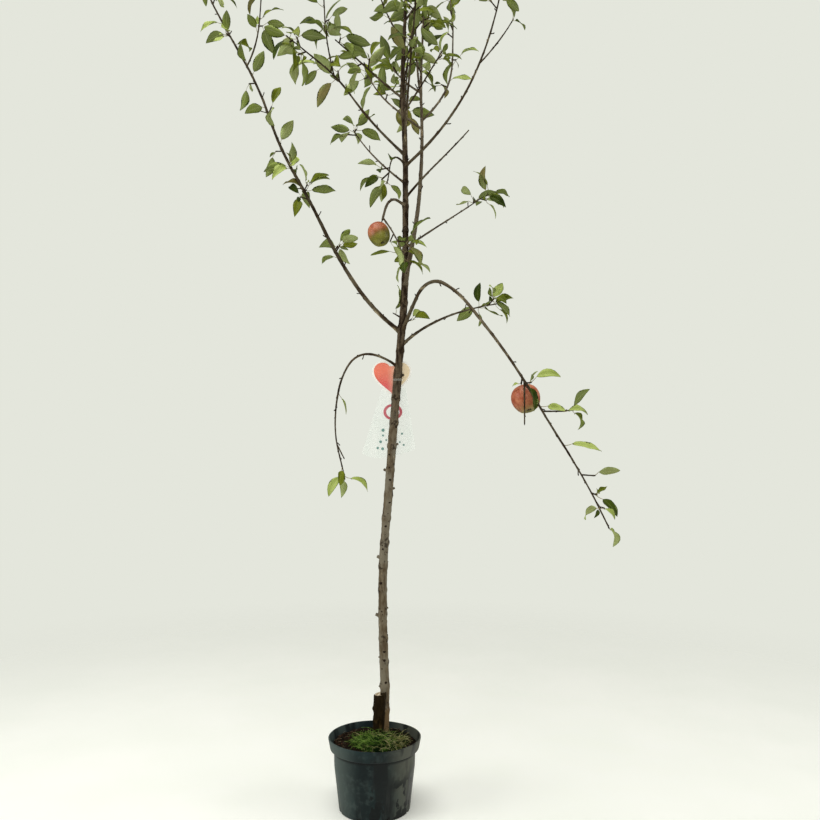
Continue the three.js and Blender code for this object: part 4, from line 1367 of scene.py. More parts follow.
def add_skin(
    pile, line, radius_at, sides, seed, settings,
    start=0.0, end=None, nodes=(), wrinkle=0.0, ring=None, slot=0, shift=0.0,
):
    """A limb's closed skin: its taper, the relief of its bark and a swelling at each node.

    shift, in metres, moves the bark's pattern along the limb.
    """
    end = line["length"] if end is None else end
    count = max(4, math.ceil((end - start) / (ring or settings.ring / MM)))
    distances = np.linspace(start, end, count + 1)
    angles = even_angles(sides)
    base = np.array([radius_at(d) for d in distances])
    relief = settings.relief / MM
    fine = ripples(seed, 14, (6, 26), (2, 6), distances, angles)
    broad = ripples(seed + 1, 8, (50, 190), (0, 2), distances, angles)
    size = np.minimum(base / 12, 1.0)[:, None]
    radii = base[:, None] + relief * (fine * (0.3 + 0.7 * size) + broad * (0.4 + 1.2 * size))
    for distance, heading, height, length in nodes:
        swell = np.exp(-(((distances - distance) / length) ** 2))[:, None]
        radii += height * swell * (0.3 + 0.7 * np.exp(-((turn_from(heading, angles) / 0.7) ** 2)))
    if wrinkle:
        radii += wrinkle * np.maximum(0, np.cos(distances * 2 * math.pi / 3.4))[:, None] ** 2
    radii = np.maximum(radii, base[:, None] * 0.6)
    points, faces, skin = tube(line, distances, angles, radii)
    pile.add(points, faces, slot, skin + vector(0, 0, shift))


def turn_from(heading, angles):
    """How far round from a heading in degrees each of a row of angles lies, the shorter way."""
    return np.angle(np.exp(1j * (angles - math.radians(heading))))[None, :]


def ring_place(line, distance, angle):
    """The tangent, and the outward direction at an angle in degrees round a limb's skin."""
    side = outward(tangent_at(line, 0), 0)
    steps = max(2, int(distance / 6))
    for i in range(steps + 1):
        tangent = tangent_at(line, distance * i / steps)
        side = unit(side - tangent * float(side @ tangent))
    return tangent, turned(side, np.cross(tangent, side), math.radians(angle))


BUD_SLOT, PALE_SLOT = 1, 2  # a limb's bark has slot 0


def add_bud(pile, place, way, length, radius):
    """A pointed bud of five rings."""
    shares = np.array([0, 0.18, 0.45, 0.75, 1.0])
    radii = np.outer(radius * np.array([0.75, 1, 0.92, 0.5, 0.12]), np.ones(6))
    line = straight(place, way, length)
    points, faces, skin = tube(line, shares * length, even_angles(6), radii)
    pile.add(points, faces, BUD_SLOT, skin)


def add_tip_bud(pile, line, length, radius):
    way = tangent_at(line, line["length"])
    add_bud(pile, line["points"][-1] - way, way, length, radius)


def limb_nodes(start, end, spacing, seed, height, length):
    """Places of buds up a limb: distance, angle, height and length of the swelling."""
    random = seeded(seed)
    distance, angle, nodes = start + spacing * random(), 360 * random(), []
    while distance < end:
        nodes.append((distance, angle, height * mix(0.6, 1.2, random()), length))
        distance += spacing * mix(0.7, 1.3, random())
        angle += NODE_TURN + mix(-15, 15, random())
    return nodes


STUMP_KNOBS = [  # distance, heading, height, length and breadth of swellings on the cut rootstock
    (76, 185, 3.4, 7, 0.4), (40, 205, 2.0, 8, 0.4), (112, 10, 3.0, 9, 0.9), (100, -35, 1.6, 12, 0.8),
    (58, -95, 1.6, 7, 0.4), (92, 160, 1.8, 6, 0.4), (20, -60, 1.8, 9, 0.5),
]
SCARS = [  # distance up the trunk, heading and radius of its lowest bud scars
    (145, -75, 3.8), (184, -120, 2.6), (208, -84, 4.2), (233, -80, 4.4), (261, -30, 3.4), (347, -100, 2.2),
    (427, -115, 4.8), (523, -105, 3.0), (588, -90, 3.6), (655, -65, 3.0), (719, -80, 3.8), (790, -120, 2.6),
    (868, -50, 3.4),
]
TRUNK_STUBS = [  # distance up the trunk, heading, length, radius
    (128, 200, 6, 2.6), (212, -150, 5, 2.4), (330, 178, 10, 4.6), (352, -20, 5, 3), (402, -95, 4, 3.2),
    (496, 176, 8, 4.6), (508, -60, 9, 4.2), (560, -85, 5, 3.6), (690, 8, 7, 3.2), (742, 172, 8, 3.4),
    (815, 15, 7, 3), (903, -80, 6, 3.6), (1012, 8, 8, 3.4), (1232, -80, 7, 3.2), (1402, 186, 9, 3),
]


def make_trunk(settings):
    pile = Pile()
    random = seeded(3)
    trunk, every = crown.trunk, TRUNK["knot_every"]
    nodes = []
    for i in range(1, int(TRUNK["length"] / every)):
        size = trunk_radius(i * every) / 12
        nodes.append((i * every, NODE_TURN * i, 1.5 * size, 6.5 * max(size, 0.5)))
    nodes += [
        (distance + mix(-18, 18, random()), NODE_TURN * i * 1.7 + 60, height * 0.5, 4)
        for i, (distance, _, height, _) in enumerate(nodes)
    ]
    add_skin(pile, trunk, trunk_radius, settings.sides, 11, settings, nodes=nodes)
    for distance, angle, *_ in nodes:
        tangent, way = ring_place(trunk, distance, angle)
        radius = trunk_radius(distance)
        place = point_at(trunk, distance) + way * (radius * 0.9)
        size = mix(0.5, 1.0, min(1.0, radius / 12))
        add_bud(pile, place, unit(way * 0.9 + tangent), 4.2 * size, 2.5 * size)
    for distance, heading, radius in SCARS:
        way = unit(direction(heading, 12))
        place = point_at(trunk, distance) + way * (trunk_radius(distance) - 0.7)
        distances = np.array([0, 0.9, 1.5, 1.9])
        radii = np.outer([0.8, 1.0, 0.85, 0.3], np.full(8, radius))
        points, faces, _ = tube(straight(place, way, distances[-1]), distances, even_angles(8), radii)
        pile.add(points, faces, BUD_SLOT)
    for distance, heading, length, radius in TRUNK_STUBS:
        way = unit(direction(heading, 25))
        start = point_at(trunk, distance)
        reach = trunk_radius(distance) + length
        add_skin(
            pile, straight(start, way, reach), lambda d, r=radius, n=reach: r * (1.35 - 0.45 * d / n), 12,
            distance, settings, nodes=[(reach - 2, 0, 0.5, 3)], ring=2.2, shift=distance * MM,
        )
        add_bud(pile, start + way * (reach - 0.8), way, 1.2, radius * 0.75)
    # the trunk's bark carries rings of painted shade at its nodes
    finishes = [
        bark_finish(
            "Trunk bark", settings.young, settings.old, settings.pale, settings.scar_and_node_shade, pale_balance=0.5,
            upper=(settings.upper, settings.upper_old), foot=settings.foot, crack=0.3, rings=every * MM,
        ),
        bark_finish("Bud scars", settings.scar_and_node_shade, "35281c", settings.young, settings.scar_and_node_shade, 0.8),
    ]
    new_piece("trunk_bark", pile, ["trunk"], finishes)
    make_stump(settings)


def make_stump(settings):
    """The cut-off rootstock: a rough bark cylinder with a tilted pale cut."""
    foot, rings, sides = np.array(SNAG["foot"], float), 46, 40
    top_place = foot + vector(SNAG["lean"], -SNAG["forward"], SNAG["height"])
    line = {"points": np.array([foot, top_place]), "length": float(np.linalg.norm(top_place - foot))}
    distances = np.linspace(0, line["length"], rings)
    angles = even_angles(sides)
    base = np.linspace(SNAG["foot_radius"], SNAG["top_radius"], rings)[:, None]
    rough = ripples(41, 30, (7, 34), (3, 10), distances, angles)
    lumps = ripples(42, 6, (50, 120), (1, 3), distances, angles)
    radii = base - 0.6 + 0.75 * rough + 0.7 * lumps
    side = outward(tangent_at(line, 0), 0)
    zero = math.degrees(math.atan2(side[1], side[0]))
    for distance, heading, height, length, breadth in STUMP_KNOBS:
        swell = np.exp(-(((distances - distance) / length) ** 2))[:, None]
        radii += height * swell * np.exp(-((turn_from(heading - zero, angles) / breadth) ** 2))
    points, faces, skin = tube(line, distances, angles, radii, tip_cap=False)
    tilt = math.tan(math.radians(SNAG["cut_tilt"]))
    share = np.clip((points[:, 2] - foot[2]) / SNAG["height"], 0, 1) ** 6
    points[:, 2] += share * (points[:, 0] - top_place[0]) * tilt
    pile = Pile()
    pile.add(points, faces, 0, skin)
    top = points[(rings - 1) * sides : rings * sides]
    centre = top.mean(0)
    inner = centre + (top - centre) * 0.86 + vector(0, 0, 1.0)
    cut = centre + (top - centre) * 0.82 - vector(0, 0, 0.5)
    rim = np.concatenate([top, inner, cut, [cut.mean(0) - vector(0, 0, 1.0)]])
    faces, slots = [], []
    for j in range(sides):
        k = (j + 1) % sides
        for row in (0, sides):
            faces.append((row + j, row + k, row + sides + k, row + sides + j))
        faces.append((2 * sides + j, 2 * sides + k, 3 * sides))
        pale = 1 if cut[j][0] < centre[0] + 4 else 0
        slots += [0, pale, pale]
    pile.add(rim, faces, slots, rim * MM)
    finishes = [
        bark_finish("Stump bark", settings.stump, "48371c", "594628", "0d0803", 0.66),
        plain_wood("Cut wood", settings.cut, "8f7a58"),
    ]
    new_piece("rootstock_stump", pile, ["trunk"], finishes)


def collared(limb):
    """A limb's radius with the collar where it leaves the trunk."""
    trunk = trunk_radius(limb["at"])

    def radius(distance):
        swell = COLLAR["swell"] * math.exp(-max(0.0, distance - trunk * 0.8) / COLLAR["length"])
        return limb["radius_at"](distance) * (1 + swell)

    return radius


PALE_LIMBS = ("second_leader", "left_fruit_spur")


def bark_materials(settings, name, *tones):
    """A limb's bark in its dark, light and grey tones, its buds' bark and the pale limbs' bark."""
    return [
        bark_finish(name, *tones, settings.scar_and_node_shade, 0.5),
        bark_finish(f"{name} buds", settings.scar_and_node_shade, "35281c", settings.young, settings.scar_and_node_shade, 0.8),
        bark_finish(f"Pale {name.lower()}", "665540", "9c8c70", "b8aa8e", settings.scar_and_node_shade, 0.46),
    ]


def add_limb(pile, limb, line, start, end, radius_at, sides, seed, settings, spacing=27.0):
    mid = radius_at((start + end) / 2)
    nodes = limb_nodes(start + 12, end - 4, spacing, seed, 0.16 * mid + 0.25, 3.4)
    slot = PALE_SLOT if limb["name"] in PALE_LIMBS else 0
    add_skin(
        pile, line, radius_at, sides, seed, settings, start, end, nodes, slot=slot, shift=0.37 * (seed % 23)
    )
    for distance, angle, *_ in nodes:
        tangent, way = ring_place(line, distance, angle)
        radius = radius_at(distance)
        place = point_at(line, distance) + way * (radius * 0.85) + tangent * 1.5
        size = mix(0.75, 1.1, min(1.0, radius / 6))
        add_bud(pile, place, unit(tangent + way * 0.45), 4.4 * size, 1.45 * size)


def make_boughs(settings):
    pile, nodes = Pile(), []
    for limb in crown.limbs:
        if limb["leafy"] == 0:
            continue
        parts = ("_rise", "_fall") if "bend" in limb else ("",)
        nodes += [f"bough_{limb['name']}{part}" for part in parts]
        sides = 16 if limb["radii"][0] > 4.5 else 12
        seed = limb["seed"] + 3
        add_limb(pile, limb, limb["line"], 4, limb["leafy"], collared(limb), sides, seed, settings, 30.0)
    finishes = bark_materials(settings, "Bough bark", "413224", "806c4e", "b3a585")
    new_piece("bough_bark", pile, nodes, finishes)


def make_twigs(settings):
    """Stems inside the foliage, shoots, knobbly spurs, fruit stalks and bare finer twigs."""
    pile = Pile()
    for limb in crown.limbs:
        seed, line = limb["seed"] + 40, limb["line"]
        if limb["leafy"] < limb["length"]:
            radius_at = limb["radius_at"] if limb["leafy"] else collared(limb)
            sides = 12 if limb["radii"][0] > 4 else 8
            add_limb(pile, limb, line, limb["leafy"], limb["length"], radius_at, sides, seed, settings)
            add_tip_bud(pile, line, 6.5, 2.0)
        for shoot in limb["shoots"]:
            line = shoot["line"]
            add_limb(pile, limb, line, 0, line["length"], shoot["radius_at"], 8, shoot["seed"] + 5, settings)
            add_tip_bud(pile, line, 6, 1.8)
        for i, twig in enumerate(limb["twigs"]):
            add_skin(
                pile, twig, lambda d: SPUR["radius"] * (1.15 - 0.1 * d / 30), 8, seed + i, settings,
                nodes=[(twig["length"] - 1.5, 0, 0.7, 3)], wrinkle=0.35, ring=1.7,
            )
            add_tip_bud(pile, twig, 5.5, 1.9)
        add_bare_twigs(pile, limb, settings)
        if "hung" in limb:
            add_fruit_stalk(pile, limb["hung"], settings)
    finishes = bark_materials(settings, "Twig bark", "30251a", "5f5038", "887c60")
    new_piece("twig_bark", pile, crown.foliage_nodes(), finishes)


def add_fruit_stalk(pile, hung, settings):
    top, bottom = hung["start"], hung["centre"] + vector(0, 0, hung["height"] * 0.3)
    middle = (top + bottom) / 2 + vector(1.5, -1.0, 2)
    points = np.array([top, mix(top, middle, 0.6), middle, mix(middle, bottom, 0.5), bottom])
    line = {"points": points, "length": float(np.linalg.norm(top - bottom))}
    add_skin(pile, line, lambda d: 1.25 + 0.9 * math.exp(-d / 5), 8, 9, settings, ring=2.0)


BARE_TWIG = {"length": (4, 17), "lean": (48, 66), "apart": (42, 110), "clear": 12, "radius": 1.25}


def add_bare_twigs(pile, limb, settings):
    """Short bare spurs along a bough, where there is room for them."""
    random = seeded(limb["seed"] + 700)
    distance, roll = 38 + 40 * random(), 360 * random()
    reach = limb["length"] if limb["leafy"] else 0
    clear = BARE_TWIG["clear"]
    while distance < reach - 30:
        length = mix(*BARE_TWIG["length"], random() ** 1.6)
        tangent = tangent_at(limb["line"], distance)
        way = leaning(tangent, mix(*BARE_TWIG["lean"], random()), roll)
        place = point_at(limb["line"], distance)
        if crown.twig_has_room(place + way * clear, place + way * (length + clear), limb["name"]):
            line = straight(place, way, limb["radius_at"](distance) + length)
            add_skin(
                pile, line, lambda d: BARE_TWIG["radius"], 7, int(distance), settings,
                nodes=[(line["length"] - 1.5, 0, 0.5, 2.5)], wrinkle=0.25, ring=1.8,
            )
            add_bud(pile, line["points"][-1] - way, unit(way + tangent * 0.3), 4.6, 1.6)
        distance += mix(*BARE_TWIG["apart"], random())
        roll += GOLDEN_ANGLE


# ---- leaves


UPPER = {"mid": 0, "deep": 1, "light": 2, "russet": 3}
UNDER = {"mid": 4, "deep": 4, "light": 5, "russet": 6}
STALK_SLOT = 7
TINTS = {  # the shares up to which a spray's leaves are mid, light and deep green
    "crown": (0.43, 0.69, 0.95), "right_arching": (0.15, 0.6, 1.0), "left_arching": (0.3, 1.0, 1.0),
}
TINT_STEP = 0.618  # the share of the way round the tints from one leaf to the next


def leaf_tint(draw, spray):
    """Mid, light, deep or russet, in the shares of the leaf's own spray."""
    mid, light, deep = TINTS.get(spray, TINTS["crown"])
    return "mid" if draw < mid else "light" if draw < light else "deep" if draw < deep else "russet"


BLADE = {  # degrees, shares of the length or of the half width, and millimetres
    "fold": (8, 38), "arch": (0.03, 0.17), "twist": (-26, 26), "wave": (0.03, 0.16), "width": (0.92, 1.1),
    "thickness": 0.42, "droop": 0.05, "rows": (-1.0, -0.55, 0.0, 0.55, 1.0),
}
STALK = {"radii": (0.95, 0.5), "bow": 0.09}
YOUNG = {"tries": 2, "dropped": 0.55, "size": (0.34, 0.55)}  # small leaves round each tuft


def half_width(t):
    """A blade's half width at share t of its length, as a share of its greatest."""
    if t <= 0 or t >= 1:
        return 0.0
    return math.sin(math.pi * t**0.92) ** 0.72 * (1 - 0.32 * t**5)


def add_leaf(pile, charts, leaf, spray, settings):
    """A closed thin blade, folded along its midrib, with a toothed wavy margin, on its stalk."""
    random = seeded(leaf["seed"])
    root, base, length = leaf["root"], leaf["base"], leaf["length"]
    ahead = unit(leaf["tip"] - base)
    side = unit(np.cross(ahead, leaf["normal"]))
    up = np.cross(side, ahead)
    fold = math.radians(mix(*BLADE["fold"], random()))
    arch = mix(*BLADE["arch"], random()) * (1 if random() < 0.85 else -0.6)
    twist = math.radians(mix(*BLADE["twist"], random()))
    wave, phase = mix(*BLADE["wave"], random()), 2 * math.pi * random()
    width = leaf["width"] / 2 * mix(*BLADE["width"], random())
    tint = leaf_tint(leaf["seed"] * TINT_STEP % 1, spray)
    stations = settings.stations
    shares = BLADE["rows"]
    points, chart = [], []
    for layer in (0.5, -0.5):
        for i in range(stations + 1):
            t = i / stations
            inside = 0 < i < stations
            turn = twist * (t - 0.4)
            across_way, up_way = turned(side, up, turn), turned(up, -side, turn)
            spine = base + ahead * (t * length) + up * (4 * t * (1 - t) * arch * length)
            spine = spine - up * (BLADE["droop"] * length * t**3)
            half = width * half_width(t)
            if inside:
                half *= 1 + settings.tooth * (1 if i % 2 else -1)
            for share in shares:
                lift = abs(share) * half * math.sin(fold)
                lift += share**2 * width * wave * math.sin(2 * math.pi * (1.6 * t + 0.25 * share) + phase)
                out = share * half * math.cos(fold)
                thick = BLADE["thickness"] * layer * (1 - share**2) if inside else 0
                points.append(spine + across_way * out + up_way * (lift + thick))
                chart.append((0.5 + share / 2, t))
    row, under = len(shares), (stations + 1) * len(shares)
    faces, slots = [], []
    for i in range(stations):
        for j in range(row - 1):
            a, d = i * row + j, (i + 1) * row + j
            face = (a, a + 1, d + 1, d)
            faces += [face, tuple(under + k for k in reversed(face))]
            slots += [UPPER[tint], UNDER[tint]]
    pile.add(points, faces, slots)
    charts.extend(chart)
    stalk = base - root
    petiole = np.linalg.norm(stalk)
    bow = np.cross(side, unit(stalk))
    if bow[2] > 0:
        bow = -bow
    points = [
        root + stalk * t + bow * (math.sin(math.pi * t) * STALK["bow"] * petiole)
        for t in np.linspace(0, 1, 6)
    ]
    points.append(base + ahead * (0.1 * length) - up * 0.15)
    line = {"points": np.array(points), "length": petiole + 0.1 * length}
    before = pile.count
    add_thin_tube(pile, line, *STALK["radii"], 4, 7, STALK_SLOT)
    charts.extend([(0.5, 0.0)] * (pile.count - before))


def young_leaves(limb):
    """Small leaves that the rule adds round each tuft, where they have room."""
    random = seeded(limb["seed"] + 900)
    found = []
    for twig in limb["twigs"]:
        tangent = tangent_at(twig, twig["length"])
        for _ in range(YOUNG["tries"]):
            leaf = make_leaf(twig["points"][-1] - tangent, tangent, 360 * random(), random)
            leaf["seed"] = 5000 + len(found) + limb["seed"] * 3
            if random() < YOUNG["dropped"]:
                continue
            small = mix(*YOUNG["size"], random())
            base, length = mix(leaf["root"], leaf["base"], small), leaf["length"] * small
            tip = base + unit(leaf["tip"] - base) * length
            leaf.update(base=base, tip=tip, length=length, width=leaf["width"] * small)
            if crown.has_room(leaf, limb["name"]):
                found.append(leaf)
    return found


def make_leaves(settings):
    pile, charts = Pile(), []
    for limb in crown.limbs:
        for leaf in [*limb["leaves"], *young_leaves(limb)]:
            add_leaf(pile, charts, leaf, limb["name"], settings)
    mesh = pile.mesh("leaves")
    chart = mesh.uv_layers.new(name="leaf_map")
    corners = np.zeros(len(mesh.loops), np.int32)
    mesh.loops.foreach_get("vertex_index", corners)
    chart.uv.foreach_set("vector", np.array(charts)[corners].astype(np.float32).ravel())
    join_margins(mesh)
    faces = [  # name, two tones, veins, gloss and the veins' share
        ("mid", settings.mid, "757e1a", settings.vein, 0.5, 0.4),
        ("deep", settings.deep, "3e4c0b", settings.vein, 0.45, 0.22),
        ("light", settings.light, "a8b664", "ccd298", 0.55, 0.5),
        ("russet", settings.russet, "5d6a2c", "857c3f", 0.6, 0.5),
        ("underside", settings.under, "7a8550", "b0b67e", 0.72, 0.6),
        ("pale underside", settings.under_pale, "959c60", "c0c590", 0.72, 0.6),
        ("russet underside", "8d8150", "7f8a50", "b0a470", 0.72, 0.6),
    ]
    finishes = [leaf_finish(f"Leaf {name}", *looks) for name, *looks in faces]
    finishes.append(blade_green("Leaf stalks", settings.stalk, "8a7a55", 40.0))
    new_piece("leaves", mesh, crown.foliage_nodes(), finishes)


def join_margins(mesh):
    """Joins the upper and lower face of each blade along its margin."""
    bm = bmesh.new()
    bm.from_mesh(mesh)
    bmesh.ops.remove_doubles(bm, verts=bm.verts, dist=2e-6)
    bm.to_mesh(mesh)
    bm.free()


# ---- fruit


FRUIT_OUTLINE = [  # shares of a fruit's radius and of half its height, from the eye to the stalk
    (0, -0.84), (0.1, -0.85), (0.2, -0.92), (0.32, -0.985), (0.48, -0.97), (0.63, -0.88), (0.78, -0.7),
    (0.9, -0.45), (0.97, -0.2), (1, 0.03), (0.985, 0.25), (0.93, 0.48), (0.82, 0.7), (0.66, 0.87),
    (0.48, 0.965), (0.32, 0.985), (0.19, 0.93), (0.09, 0.8), (0, 0.7),
]
SUN = unit(vector(-0.12, -0.35, 0.92))  # the way that the fruits' blush faces
BLUSH = (0.46, 0.9, -0.25)  # each fruit's blush square to the sun
SEPALS = 5


def make_fruit(settings):
    pile, nodes = Pile(), []
    for number, limb in enumerate([limb for limb in crown.limbs if "hung" in limb]):
        hung = limb["hung"]
        nodes.append(f"foliage_{limb['name']}")
        radius, half = hung["radius"], hung["height"] / 2
        bm = spun([(r * radius, z * half) for r, z in FRUIT_OUTLINE], settings.steps)
        body = np.array([vert.co[:] for vert in bm.verts]) / MM
        faces = [[vert.index for vert in face.verts] for face in bm.faces]
        bm.free()
        angles = np.arctan2(body[:, 1], body[:, 0])
        ribs = 0.035 * np.maximum(0, -body[:, 2] / half) ** 2 * np.cos(5 * angles + number)
        body[:, :2] *= (1 + ribs + 0.012 * np.cos(2 * angles + number))[:, None]
        turn = rotation("Y", hung.get("eye", hung["tilt"])) @ rotation("X", -settings.nod)
        facing = body / (np.linalg.norm(body, axis=1)[:, None] + 1e-9)
        blush = np.clip(BLUSH[number % len(BLUSH)] + 0.62 * (facing @ SUN), 0, 1)
        points = body @ turn.T + hung["centre"]
        pile.add(points, faces, 0, np.stack([np.cos(angles), body[:, 2] / half, blush], 1))
        eye = vector(0.04 * radius, 0, FRUIT_OUTLINE[0][1] * half + 0.5)
        for i in range(SEPALS):
            line = centre_line(eye, [0, 20], [-72, -20], radius * 0.2)
            about = rotation("Z", 360 / SEPALS * i + 20)
            line["points"] = (line["points"] @ about.T) @ turn.T + hung["centre"]
            add_thin_tube(pile, line, 1.5, 0.3, 5, 5, 1)
    calyx = plain_wood("Dry calyx", "4a3c28", "241a10")
    new_piece("fruit", pile, nodes, [fruit_skin(settings), calyx])


# ---- label


def heart_outline(width, height, steps=24):
    """Points round a heart from its tip, with its top notch above and its tip below, in millimetres."""
    w, h = width / 2, height
    curves = [
        ((0, -h), (-w * 0.35, -h * 0.8), (-w, -h * 0.62), (-w, -h * 0.3)),
        ((-w, -h * 0.3), (-w, 0), (-w * 0.25, h * 0.1), (0, -h * 0.17)),
    ]
    half = [tuple(bezier(curve, i / steps)) for curve in curves for i in range(steps)]
    return half + [(0, -h * 0.17)] + [(-x, y) for x, y in reversed(half[1:])]


def flat_plate(outline, x, back, top, thickness, bevel):
    """A plate with its outline in the XZ plane, its back at +Y, with softened edges."""
    bm = bmesh.new()
    verts = [bm.verts.new(((x + px) * MM, back * MM, (top + pz) * MM)) for px, pz in outline]
    moved = bmesh.ops.extrude_face_region(bm, geom=[bm.faces.new(verts)])["geom"]
    ahead = [v for v in moved if isinstance(v, bmesh.types.BMVert)]
    bmesh.ops.translate(bm, verts=ahead, vec=(0, -thickness * MM, 0))
    bmesh.ops.recalc_face_normals(bm, faces=bm.faces)
    if bevel:
        edges = [e for e in bm.edges if len({round(v.co.y, 6) for v in e.verts}) == 1]
        bmesh.ops.bevel(
            bm, geom=edges, offset=bevel * MM, offset_type="OFFSET", segments=2, profile=0.5,
            affect="EDGES", material=-1, clamp_overlap=True,
        )
    return bm


def inset_outline(outline, border, notch):
    """A heart's outline moved inwards, without the points that would cross at its notch."""
    inset = []
    for i, (x, z) in enumerate(outline):
        before, after = np.array(outline[i - 1], float), np.array(outline[(i + 1) % len(outline)], float)
        run = unit(after - before)
        inset.append((x + run[1] * border, z - run[0] * border))
    return [(x, z) for x, z in inset if abs(x) >= border * 0.9 or z <= notch]


def card_print(settings):
    """Coral that turns to rose downwards and fades to cream at one side, with a faint painted glow."""
    heart = LABEL["heart"]
    f = Finish("Card print", 0.3, Coat_Weight=0.2)
    place = f.place()
    across = f.spread(f.axis(place, "X"), (heart["x"] - 18) * MM, (heart["x"] + 30) * MM)
    down = f.spread(f.axis(place, "Z"), (heart["top"] - 30) * MM, (heart["top"] - 92) * MM)
    tone = f.blend(across, f.blend(down, settings.coral, settings.rose), settings.cream)
    worn = f.mottle(place, 30.0, (1, 1, 1), (0.86, 0.84, 0.82), detail=2.0, softness=0.4)
    tone = f.blend(0.35, tone, worn, "MULTIPLY")
    # painted glow: the print's colour as a faint emission, standing in for light through the card
    f.set(Base_Color=tone, Emission_Color=tone, Emission_Strength=0.14)
    return f.material


def clear_finish(name, roughness, first, second, scale, alphas, detail=4.0, stretch=1.0, **sockets):
    """A see-through finish, hazier in soft patches. alphas are its least and its greatest."""
    f = Finish(name, roughness, **sockets)
    place = f.stretched(f.place(), z=stretch)
    f.set(Base_Color=f.mottle(place, scale, first, second, detail))
    f.set(Alpha=f.spread(f.patches(place, scale, detail), 0, 1, *alphas))
    return f.material


def make_label(settings):
    points, heart, film = crown.trunk["points"], LABEL["heart"], LABEL["film"]
    thickness, foot = LABEL["thickness"], TRUNK["foot"][2]
    behind = [
        p[1] + trunk_radius(p[2] - foot) + LABEL["trunk_clear"]
        for p in points if film["bottom"] < p[2] < heart["top"] + STEP
    ]
    back = max(behind) + GAP + thickness
    outline = heart_outline(heart["width"], heart["height"])
    card = flat_plate(outline, heart["x"], back, heart["top"], thickness, 0.25)
    # painted glow: the white border glows faintly, standing in for light through the card
    white = two_tone(
        "Card border", 0.35, settings.white, "f4efe2", 60.0,
        Emission_Color=settings.white, Emission_Strength=0.16,
    )
    new_piece("label_card", card, ["label_heart"], [white], smooth=False)
    inset = inset_outline(outline, settings.border / MM, heart["notch"])
    front = flat_plate(inset, heart["x"], back - thickness + 0.05, heart["top"], 0.15, 0)
    new_piece("label_print", front, ["label_heart"], [card_print(settings)], smooth=False)
    make_strap(settings, next(p for p in points if p[2] > LABEL["strap_height"]))

    sheet_thickness = 0.6
    skirt = [bezier((film["corners"][0], film["dip"], film["corners"][1]), i / 16) for i in range(17)]
    left, right = film["shoulders"]
    back += GAP + thickness
    sheet = flat_plate([(left, 0), *skirt, (right, 0)], film["x"], back, film["top"], sheet_thickness, 0.1)
    # painted glow: the film glows faintly in its own colour, so that it reads as bright as the surround
    clear = clear_finish(
        "Clear film", 0.22, settings.film, "dfe7df", 30.0, alphas=(0.3, 0.46), detail=3.0, stretch=0.3,
        Specular_IOR_Level=0.5, Emission_Color=settings.film, Emission_Strength=0.22,
    )
    new_piece("label_film_sheet", sheet, ["label_film"], [clear], smooth=False)
    make_film_marks(settings, back - sheet_thickness)


def make_strap(settings, centre):
    """The clear strap round the trunk that holds the card."""
    height, width = LABEL["strap_height"], LABEL["strap_width"]
    inner = trunk_radius(height - TRUNK["foot"][2]) + LABEL["strap_clear"]
    outer = inner + LABEL["strap_thickness"]
    middle = ((inner + outer) / 2, 0)
    section = [middle, (outer, 0), (outer, width), (inner, width), (inner, 0), middle]
    bm = spun(rounded(section, 0.5), 48)
    bmesh.ops.translate(bm, verts=bm.verts, vec=(centre[0] * MM, centre[1] * MM, height * MM))
    clear = clear_finish(
        "Clear strap", 0.3, settings.film, "aab0a4", 120.0, alphas=(0.08, 0.16), Specular_IOR_Level=0.3
    )
    new_piece("label_strap", bm, ["label_heart"], [clear])


FILM_DOTS = [  # across and up from the film's top, and radius
    (-22, -121, 4.6), (-22, -136, 3.0), (-29, -154, 4.0), (-13, -149, 2.6), (-37, -172, 3.6),
    (-23, -174, 4.2), (32, -131, 3.0), (37, -163, 3.0), (26, -155, 2.4),
]
FILM_RING = {"x": 6, "z": -69, "inner": 19, "outer": 27, "thickness": 0.25, "squash": 0.85}


def make_film_marks(settings, front):
    """A plain ring and scattered dots on the film."""
    film = LABEL["film"]
    facing = Matrix.Rotation(math.pi / 2, 4, "X")

    def on_film(x, y, z):
        return Matrix.Translation(((film["x"] + x) * MM, y * MM, (film["top"] + z) * MM)) @ facing

    bm = bmesh.new()
    for x, z, radius in FILM_DOTS:
        add_bar(bm, radius, 0.2, on_film(x, front - 0.1, z))
    dots = two_tone("Film dots", 0.35, settings.dots, "8db4ac", 200.0)
    new_piece("label_dots", bm, ["label_film"], [dots], smooth=False)
    inner, outer, thickness = FILM_RING["inner"], FILM_RING["outer"], FILM_RING["thickness"]
    bm = spun([(inner, 0), (outer, 0), (outer, thickness), (inner, thickness), (inner, 0)], 48)
    squash = Matrix.Diagonal((1, FILM_RING["squash"], 1, 1))
    move = on_film(FILM_RING["x"], front, FILM_RING["z"]) @ squash
    bmesh.ops.transform(bm, matrix=move, verts=bm.verts)
    ring = two_tone("Film ring", 0.35, settings.ring, "dd7f86", 90.0)
    new_piece("label_ring", bm, ["label_film"], [ring], smooth=False)


# ---- stage


FLOOR = {"radius": 7.0, "sunk": 0.0005, "clear": 3.2, "solid": 0.9}  # metres; between the last two it fades
AIM = (0.1, 0.0, 1.1)  # the place in the crown that every lamp faces
LAMPS = {  # each lamp's place and size, in metres
    "overhead": ((-0.5, -0.6, 4.6), 3.0), "left": ((-3.4, -1.2, 2.4), 2.0),
    "right": ((3.4, -0.6, 2.0), 2.0), "front": ((0.4, -4.5, 2.6), 2.4),
}
CAMERA = {"place": (0.098, -2.275, 0.999), "lens": 36, "sensor": 36, "shift": 37 / 820}


